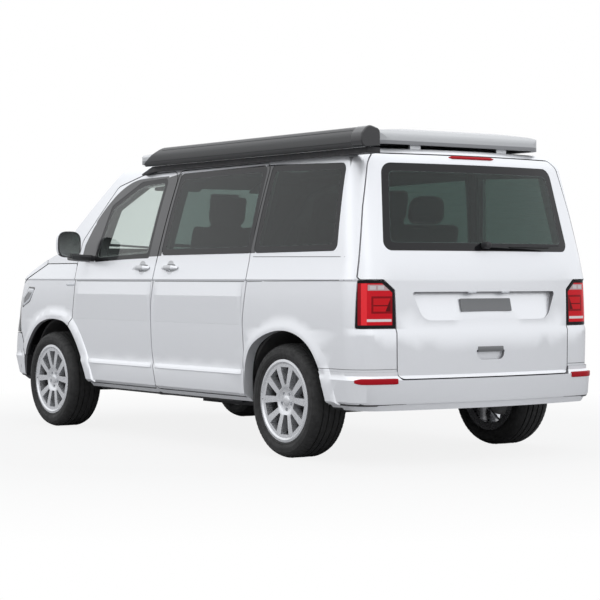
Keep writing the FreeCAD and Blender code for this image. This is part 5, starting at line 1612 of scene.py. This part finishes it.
for k, y in enumerate((-0.165, 0.560)):
    headrest("bench_headrest_%d" % (k + 1), -1.540, y, 1.520, 0.26)
print("two headrests")

# %% [markdown]
# ## Cabin
#
# What shows through the glass: the instrument hood, vents, a display, the steering wheel's pad, a gear
# lever, sun visors, an inner mirror, door trims, and the fronts and worktop of the kitchen cabinet. Most
# are slabs with rounded outlines and rims, because through tinted glass only their outline and their shine
# are seen.

# %% Dashboard pieces
def block(name, low, high, material, body, edge=0.01):
    """A rounded block between two corners, its outline seen along the van."""
    (x0, y0, z0), (x1, y1, z1) = low, high
    outline = outline_of([(y0, z0, edge), (y1, z0, edge), (y1, z1, edge), (y0, z1, edge)], 5)
    return plate(name, outline, lambda u, v, w: Vector((w, u, v)), x0, x1, material, body,
                 min(edge, 0.4 * (x1 - x0)))


block("instrument_hood", (0.700, 0.250, 1.120), (0.860, 0.590, 1.205), cabin_grey, "shell", 0.03)
block("instrument_glass", (0.694, 0.275, 1.135), (0.702, 0.565, 1.190), screen, "shell", 0.006)
block("centre_display", (0.700, -0.140, 0.985), (0.716, 0.120, 1.105), screen, "shell", 0.008)
for i, y in enumerate((-0.74, -0.22, 0.20, 0.74)):
    block("air_vent_%d" % (i + 1), (0.702, y - 0.055, 1.030), (0.716, y + 0.055, 1.095), gloss_black, "shell",
          0.012)
LEVER = [(0.0, 0.0), (0.045, 0.0), (0.030, 0.03), (0.008, 0.06), (0.008, 0.13), (0.020, 0.14), (0.024, 0.165),
         (0.014, 0.185), (0.0, 0.188)]
lathed("gear_lever", LEVER, 24, lambda a, b, c: Vector((0.650 - 0.30 * b + a, -0.03 + c, 0.855 + b)),
       cabin_grey, "shell")
block("gear_console", (0.585, -0.110, 0.700), (0.760, 0.060, 0.870), cabin_grey, "shell", 0.02)
print("dashboard pieces")

# %% [markdown]
# The steering wheel leans, so its pad is drawn in the wheel's own plane: one direction across, one up the
# wheel and one along its column. The visors lie under the headlining with a slope of one in two.

# %% Steering wheel pad, inner mirror and sun visors
axis = Vector((-0.9, 0, 0.43)).normalized()
centre = Vector((0.573, 0.420, 1.075))
side_axis = Vector((0, 1, 0))
up_axis = axis.cross(side_axis).normalized()
PAD = outline_of([(-0.085, -0.055, 0.03), (0.085, -0.055, 0.03), (0.070, 0.060, 0.03), (-0.070, 0.060, 0.03)],
                 6)
plate("steering_pad", PAD, lambda u, v, w: centre + side_axis * u + up_axis * v + axis * w, 0.002, 0.030,
      cabin_grey, "shell", 0.012)
mirror_at = Vector((0.560, 0.0, 1.660))
plate("inner_mirror", oblong(0.12, 0.032, 0.02), lambda u, v, w: mirror_at + Vector((w, u, v)), -0.012, 0.012,
      gloss_black, "shell", 0.006)
for i, y in enumerate((-0.40, 0.40)):
    plate("sun_visor_%d" % (i + 1), oblong(0.19, 0.07, 0.02),
          lambda u, v, w: Vector((0.500 + v, y + u, 1.745 - 0.5 * v + w)), -0.008, 0.008, cabin_grey, "shell",
          0.004)
print("pad, mirror and visors")

# %% [markdown]
# With a door open its inner face shows. An arm rest runs along each front door and a plain trim along the
# sliding door, each swept along rays that come from inside the van.

# %% Door trims
ARM_REST = [(-0.035, -0.003), (-0.035, 0.018), (-0.022, 0.030), (0.022, 0.030), (0.035, 0.018),
            (0.035, -0.003)]
for side, sign in (("left", 1), ("right", -1)):
    hits = [skin_at("front_door_" + side, (x, 0.3 * sign, 0.93), (0, sign, 0)) for x in steps(0.10, 0.86, 14)]
    swept("arm_rest_" + side, [p for p, _ in hits], [n for _, n in hits], ARM_REST, cabin_grey,
          "door_" + side, scale=taper(len(hits)))
hits = [skin_at("sliding_door_left", (x, 0.3, 0.98), (0, 1, 0)) for x in steps(-0.95, -0.12, 14)]
swept("sliding_door_trim", [p for p, _ in hits], [n for _, n in hits], pad_section(0.10, 0.014), cabin_grey,
      "shell", scale=taper(len(hits)))
print("door trims")

# %% [markdown]
# The cabinet's solid is a plain box. Its fronts and knobs are one panel and one knob, repeated in two rows
# of five, and rings on its top stand for the hob and the sink.

# %% Kitchen: fronts, knobs, hob and sink
ROW_STEP, PER_ROW, ROW_RISE = 0.355, 5, 0.31
SINK_Y = -0.62
front = skin_at("kitchen_cabinet", (-1.3, 0.5, 0.9), (0, -1, 0))[0].y
top_z = skin_at("kitchen_cabinet", (-1.3, SINK_Y, 2.0), (0, 0, -1))[0].z
panel = plate("cabinet_front", oblong(0.16, 0.14, 0.012),
              lambda u, v, w: Vector((-2.00 + u, front + w, 0.70 + v)), 0.0, 0.008, board, None, 0.002)
KNOB = [(0.0, 0.020), (0.010, 0.019), (0.013, 0.014), (0.011, 0.006), (0.011, 0.0), (0.0, 0.0)]
knob = lathed("knob", KNOB, 20, lambda a, b, c: Vector((-1.88 + a, front + 0.008 + b, 0.79 + c)),
              bright, None)
for name, piece, material, slot in (("fronts", panel, board, "cabinet_board"),
                                    ("knobs", knob, bright, "steel")):
    for k in range(2):
        row = repeated("cabinet_%s_%d" % (name, k + 1), ROW, piece, PER_ROW, (ROW_STEP, 0, 0), material,
                       "shell", (0, 0, k * ROW_RISE))
    bpy.data.objects.remove(piece)
for name, x, radius in (("hob_ring_front", -0.72, 0.085), ("hob_ring_rear", -1.00, 0.065)):
    section = [(radius, 0.003), (radius - 0.008, 0.010), (radius - 0.016, 0.003), (radius - 0.016, -0.001),
               (radius, -0.001)]
    lathed(name, section, 36, lambda a, b, c: Vector((x + a, SINK_Y + c, top_z + b)), iron, "shell")
lathed("sink_rim", [(0.15, 0.001), (0.148, 0.006), (0.135, 0.006), (0.132, 0.001)], 44,
       lambda a, b, c: Vector((-1.38 + a, SINK_Y + c, top_z + b)), bright, "shell")
print("kitchen pieces")

# %% [markdown]
# ## Floor, light and camera
#
# A pale car needs something darker to mirror, or its panels run together. So the camera, and what it sees
# through glass, gets a plain white background, while every reflection sees a grey floor below the horizon
# and a bright room above it. The floor fades from a real, shaded surface near the wheels to plain white
# further out. Three broad, weak lamps add soft light from above, from the left and from behind.

# %% Floor
bpy.ops.mesh.primitive_plane_add(size=400, location=(0, 0, 0))
floor = bpy.context.object
floor.name = "studio_floor"
floor_white, shader = finish("StudioFloor", (0.34, 0.34, 0.345), 0.9)
tree = floor_white.node_tree
plain = tree.nodes.new("ShaderNodeEmission")
plain.inputs["Color"].default_value = (1, 1, 1, 1)
plain.inputs["Strength"].default_value = 1.0
blend_in = tree.nodes.new("ShaderNodeMixShader")
fx, fy, _ = place_on(floor_white)
squares = maths(floor_white, "ADD", product(floor_white, fx, fx), product(floor_white, fy, fy))
distance = maths(floor_white, "SQRT", squares)
light_path = tree.nodes.new("ShaderNodeLightPath")
seen = maths(floor_white, "MAXIMUM", light_path.outputs["Is Camera Ray"],
             light_path.outputs["Is Transmission Ray"])
fading = product(floor_white, seen, stretched(floor_white, distance, 2.6, 5.5, 0.86, 1.0))
plug(floor_white, fading, blend_in.inputs["Fac"])
tree.links.new(shader.outputs["BSDF"], blend_in.inputs[1])
tree.links.new(plain.outputs["Emission"], blend_in.inputs[2])
tree.links.new(blend_in.outputs["Shader"], tree.nodes["Material Output"].inputs["Surface"])
floor.data.materials.append(floor_white)
print("floor")

# %% [markdown]
# The world chooses between two backgrounds by the kind of ray: white for the camera and through glass, and
# the two-tone room for everything else.

# %% Room light
world = bpy.data.worlds.new("StudioWorld")
bpy.context.scene.world = world
world.use_nodes = True
tree = world.node_tree
room = tree.nodes["Background"]
backdrop = tree.nodes.new("ShaderNodeBackground")
backdrop.inputs["Color"].default_value = (1, 1, 1, 1)
backdrop.inputs["Strength"].default_value = 1.0
coords = tree.nodes.new("ShaderNodeTexCoord")
split = tree.nodes.new("ShaderNodeSeparateXYZ")
ramp = tree.nodes.new("ShaderNodeValToRGB")
for element, position, tone in zip(ramp.color_ramp.elements, (0.50, 0.57),
                                   ((0.34, 0.34, 0.345), (0.97, 0.98, 1.0))):
    element.position = position
    element.color = (*tone, 1)
lift = tree.nodes.new("ShaderNodeMath")
lift.operation = "MULTIPLY_ADD"
lift.inputs[1].default_value = 0.5
lift.inputs[2].default_value = 0.5
path = tree.nodes.new("ShaderNodeLightPath")
choose = tree.nodes.new("ShaderNodeMixShader")
tree.links.new(coords.outputs["Generated"], split.inputs[0])
tree.links.new(split.outputs["Z"], lift.inputs[0])
tree.links.new(lift.outputs[0], ramp.inputs["Fac"])
tree.links.new(ramp.outputs["Color"], room.inputs["Color"])
room.inputs["Strength"].default_value = 1.25
through = tree.nodes.new("ShaderNodeMath")
through.operation = "MAXIMUM"
tree.links.new(path.outputs["Is Camera Ray"], through.inputs[0])
tree.links.new(path.outputs["Is Transmission Ray"], through.inputs[1])
tree.links.new(through.outputs[0], choose.inputs["Fac"])
tree.links.new(room.outputs[0], choose.inputs[1])
tree.links.new(backdrop.outputs[0], choose.inputs[2])
tree.links.new(choose.outputs[0], tree.nodes["World Output"].inputs["Surface"])


def soft_lamp(name, place, target, size, power):
    data = bpy.data.lights.new(name, "AREA")
    data.energy = power
    data.size = size
    lamp = bpy.data.objects.new(name, data)
    lamp.location = place
    lamp.rotation_euler = (Vector(target) - Vector(place)).to_track_quat("-Z", "Y").to_euler()
    bpy.context.scene.collection.objects.link(lamp)


soft_lamp("overhead", (-1, 2, 8), (0, 0, 1), 8, 120)
soft_lamp("side", (-1, 11, 6), (0, 0, 1), 7, 60)
soft_lamp("rear", (-11, 2, 6), (0, 0, 1), 6, 40)
print("three soft lamps")

# %% [markdown]
# The camera stands behind the van and to its left, a little over a metre up, with a long lens, which keeps
# the verticals nearly parallel.

# %% Camera
CAMERA_PLACE = (-10.9107, 7.4183, 1.1008)
CAMERA_TURN = math.radians(-35.160)
CAMERA_TILT = math.radians(-0.720)
aim = Vector((math.cos(CAMERA_TURN) * math.cos(CAMERA_TILT), math.sin(CAMERA_TURN) * math.cos(CAMERA_TILT),
              math.sin(CAMERA_TILT)))
camera_data = bpy.data.cameras.new("camera")
camera_data.lens = 113.24
camera = bpy.data.objects.new("camera", camera_data)
camera.location = CAMERA_PLACE
camera.rotation_euler = aim.to_track_quat("-Z", "Y").to_euler()
bpy.context.scene.collection.objects.link(camera)
bpy.context.scene.camera = camera
bpy.context.scene.view_settings.view_transform = "Standard"
print("camera with a lens of", camera_data.lens, "mm")

# %% [markdown]
# At the end the script counts its triangles. The bounds of the solids and of the dressed van should differ
# by a few millimetres only.

# %% Count the triangles and finish
total = 0
graph = bpy.context.evaluated_depsgraph_get()
for obj in bpy.context.scene.objects:
    if obj.type == "MESH" and not obj.hide_render and obj != floor:
        mesh = obj.evaluated_get(graph).data
        mesh.calc_loop_triangles()
        total += len(mesh.loop_triangles)
print(total, "triangles")
